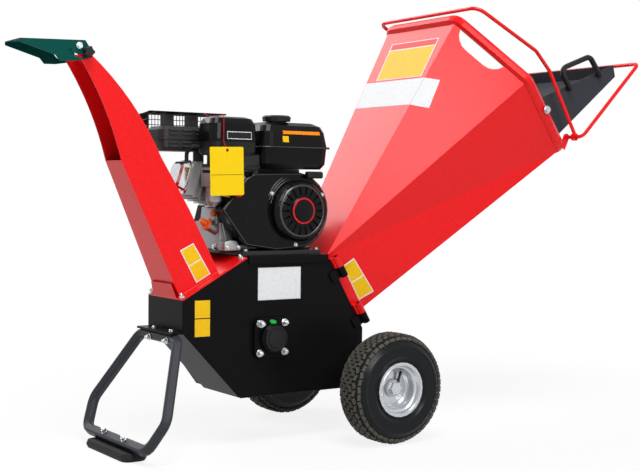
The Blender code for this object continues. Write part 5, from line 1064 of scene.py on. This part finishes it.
# %% Wire guard
GUARD_RIGHT, GUARD_LENGTH, GUARD_DROP, GUARD_Z = -0.3134, 0.19, 0.062, 0.7835
GUARD_NEAR, GUARD_FAR, GUARD_MIDDLE = 0.0165, 0.1315, 0.078
GUARD_BEND, GUARD_LEAN = 0.006, 0.3
WIRE, POST_WIRE, FRAME_WIRE = 0.0009, 0.0014, 0.0015
LONG_WIRES = 15
SIDE_DROPS = (0.0125, 0.025, 0.0375)


def guard_place(along, share, lift=0.0):
    """A place by the way along the wires, over the bend, and by the share of the guard's depth."""
    y = GUARD_NEAR + (GUARD_FAR - GUARD_NEAR) * share
    lean = GUARD_LEAN * (y - GUARD_MIDDLE) * min(1.0, along / GUARD_LENGTH)
    over = max(0.0, along - GUARD_LENGTH)
    x, z = GUARD_RIGHT - min(along, GUARD_LENGTH), GUARD_Z - over
    if abs(along - GUARD_LENGTH) < GUARD_BEND:
        t = (along - GUARD_LENGTH + GUARD_BEND) / (2 * GUARD_BEND)
        x = GUARD_RIGHT - GUARD_LENGTH + GUARD_BEND * (1 - t) ** 2
        z = GUARD_Z - GUARD_BEND * t ** 2
    return at(x + lean + (lift if over else 0.0), y, z + (0.0 if over else lift))


def make_wire_guard():
    end = GUARD_LENGTH + GUARD_DROP
    bend = [GUARD_LENGTH - GUARD_BEND + 0.002 * k for k in range(7)]
    run = [0, 0.06, 0.12, 0.17] + bend + [0.215, end]
    across = [0.024 * k for k in range(8)] + [0.208, 0.224, 0.24, end - 0.0005]
    last = LONG_WIRES - 1
    wires = [([guard_place(along, k / last) for along in run],
              FRAME_WIRE if k in (0, last) else WIRE) for k in range(LONG_WIRES)]
    wires += [([guard_place(along, k / 6, -0.0006) for k in range(7)],
               FRAME_WIRE if along in (across[0], across[-1]) else WIRE) for along in across]
    wires += [([at(x, y, GUARD_Z) for y in (GUARD_NEAR, GUARD_FAR)], POST_WIRE)
              for x in (-0.44, -0.375)]
    side = [guard_place(0.006 + 0.0092 * k, 1) for k in range(20)]
    wires += [([top, top - UP * SIDE_DROPS[-1]], WIRE) for top in side]
    wires += [([end - UP * drop for end in (side[0], side[-1])], WIRE) for drop in SIDE_DROPS]
    shape = bmesh.new()
    for line, radius in wires:
        tube_into(shape, line, radius)
    finish_mesh(shape, "wire_guard", satin_black, "black_paint", 50, replace=("muffler_guard",))
    return len(wires)


print("wire guard woven of", make_wire_guard(), "wires")

# %% [markdown]
# Behind the starter's louvres a dark disc stands for the shade inside the fan's room: painted
# shade. Raised ribs curve round the cover's shoulder, and a ring runs round its face; both take the
# lighter, glossier black of painted highlight.

# %% Starter's painted shade disc, ribs and ring
# Each rib's radius, and the angles in degrees between which it runs.
RIBS = ((0.0775, 106, 168), (0.0835, 112, 162), (0.0895, 118, 156))
RIB_STEPS = 10
# A dark disc behind the louvres: painted shade for the fan's room.
turned("starter_screen", mm((0, 0), (65.5, 0), (65.5, 0.8), (0, 0.8)),
       facing(at(CRANK_X, -0.077, CRANK_Z), NEAR), 48, heat_black, "black_paint")
arcs = [[polar(radius, math.radians(first + (last - first) * step / RIB_STEPS))
         for step in range(RIB_STEPS + 1)] for radius, first, last in RIBS]
tubes("cover_ribs", [wall(-0.0645, *((CRANK_X + x, CRANK_Z + z) for x, z in arc))
                     for arc in arcs], 0.0015, painted_highlight_black, "black_paint")
turned("cover_ring", mm((58.3, 0), (59.2, 2), (60.8, 2.9), (62.8, 2), (64.2, 0)),
       facing(at(CRANK_X, -0.0882, CRANK_Z), NEAR), 72, painted_highlight_black, "black_paint", True, sharp=60)
print("screen,", len(RIBS), "ribs and a ring set")

# %% [markdown]
# Rolled and pressed edges catch the light as thin bright lines, so each has a bead of its own: one
# round the cover plate and one round the tank's seam. The beads take a lighter, much glossier black
# than the enamel beside them, which is a painted highlight. Their lines are found from the solids.

# %% Line helpers
def hull(points):
    """The convex outline round flat points, starting at the leftmost."""
    points = sorted({(round(x, 5), round(y, 5)) for x, y in points})
    order = convex_hull_2d(points)
    first = order.index(0)
    return [points[k] for k in order[first:] + order[:first]]


def spaced(points, gap):
    """The points without those that are nearer than gap to the one before."""
    kept = points[:1]
    for point in points:
        if (point - kept[-1]).length > gap:
            kept.append(point)
    return kept


def clear_runs(loop, blocked, step=0.003):
    """Walks a closed line in small steps and returns the runs that stay out of blocked boxes."""
    walk = []
    for start, end in zip(loop, loop[1:] + loop[:1]):
        count = max(1, round((end - start).length / step))
        walk += [start.lerp(end, k / count) for k in range(count)]
    shut = [any(low.x < p.x < high.x and low.z < p.z < high.z for low, high in blocked)
            for p in walk]
    first = shut.index(True)
    runs = [[]]
    for place, closed in zip(walk[first:] + walk[:first], shut[first:] + shut[:first]):
        if closed:
            runs.append([])
        else:
            runs[-1].append(place)
    return [run for run in runs if len(run) > 2]


def box_of(node):
    corners = list(zip(*(vert.co for vert in nodes[node].data.vertices)))
    return Vector([min(row) for row in corners]), Vector([max(row) for row in corners])


print("line helpers ready")

# %% [markdown]
# The cover plate's bead is left out where the switch and the starter's grip lie over it.

# %% Pressed edge and tank seam
EDGE_INSET = 0.0042
CLEARANCE = Vector((0.0025, 0, 0.0025))


def make_pressed_edge():
    places = [vert.co for vert in nodes["blower_housing"].data.vertices]
    front = min(place.y for place in places)
    outline = hull([(place.x, place.z) for place in places if place.y < front + 0.0006])
    middle = Vector([sum(row) / len(outline) for row in zip(*outline)])
    inset = [spot + (middle - spot).normalized() * EDGE_INSET for spot in map(Vector, outline)]
    points = [Vector((spot.x, front - 0.0002, spot.y)) for spot in inset]
    boxes = [box_of(node) for node in ("engine_switch", "starter_grip")]
    blocked = [(low - CLEARANCE, high + CLEARANCE) for low, high in boxes]
    tubes("cover_pressed_edge", clear_runs(spaced(points, 0.004), blocked), 0.0016, painted_highlight_black,
          "black_paint", sharp=60)


def make_tank_seam():
    """The rolled edge where the tank's two pressed halves meet, laid round its lip."""
    places = [vert.co for vert in nodes["fuel_tank"].data.vertices]
    near = min(place.y for place in places)
    levels = [place.z for place in places if place.y < near + 0.0004]
    low, high = min(levels), max(levels)
    outline = hull([(place.x, place.y) for place in places
                    if low - 0.0002 <= place.z <= high + 0.0002])
    points = [Vector((x, y, (low + high) / 2)) for x, y in outline]
    tubes("tank_seam", [spaced(points, 0.003)], 0.0013, painted_highlight_black, "black_paint", cyclic=True,
          sharp=60)


make_pressed_edge()
make_tank_seam()
print("pressed edge and tank seam laid")

# %% [markdown]
# The engine's stickers are blank as well: a strip and a patch on the fuel tank and a plate on the
# air cleaner. The card gets an eyelet round its hole and one printed rule across it.

# %% Labels on the engine
TANK_OUT = (0, -0.986, 0.164)
CARD_MIDDLE = at(-0.3745, -0.0963, 0.646)
label("tank_strip", "fuel_tank", oblong(-0.08, -0.212, -0.1058, 0.7372, 0.7456), TANK_OUT,
      vinyl["orange"])
label("tank_patch", "fuel_tank", oblong(-0.084, -0.214, -0.197, 0.718, 0.733), TANK_OUT,
      vinyl["yellow"])
label("air_cleaner_plate", "air_cleaner_cover", oblong(-0.077, -0.364, -0.298, 0.721, 0.739),
      (0, -0.995, 0.1), silver_foil, [(vinyl["black"], (0.02, 0.98), (0.1, 0.9))])
turned("tag_eyelet", mm((1.3, 0), (1.3, 0.4), (3.4, 0.5), (3.6, 0)),
       facing(at(-0.3742, -0.0963, 0.6945), NEAR), 24, black_abs, "black_plastic", True)
across, upward = leaning(1.5)
rule = [CARD_MIDDLE + across * x + upward * z
        for x, z in mm((-42.5, -8.5), (42.5, -8.5), (42.5, -7.8), (-42.5, -7.8))]
sticker("tag_rule", rule, NEAR, vinyl["black"], "black_plastic")
print("engine labels laid")

# %% Finish
for shape in (NUT, HEAD, DOME, BLOCK, LOUVRE):
    bpy.data.objects.remove(shape, do_unlink=True)
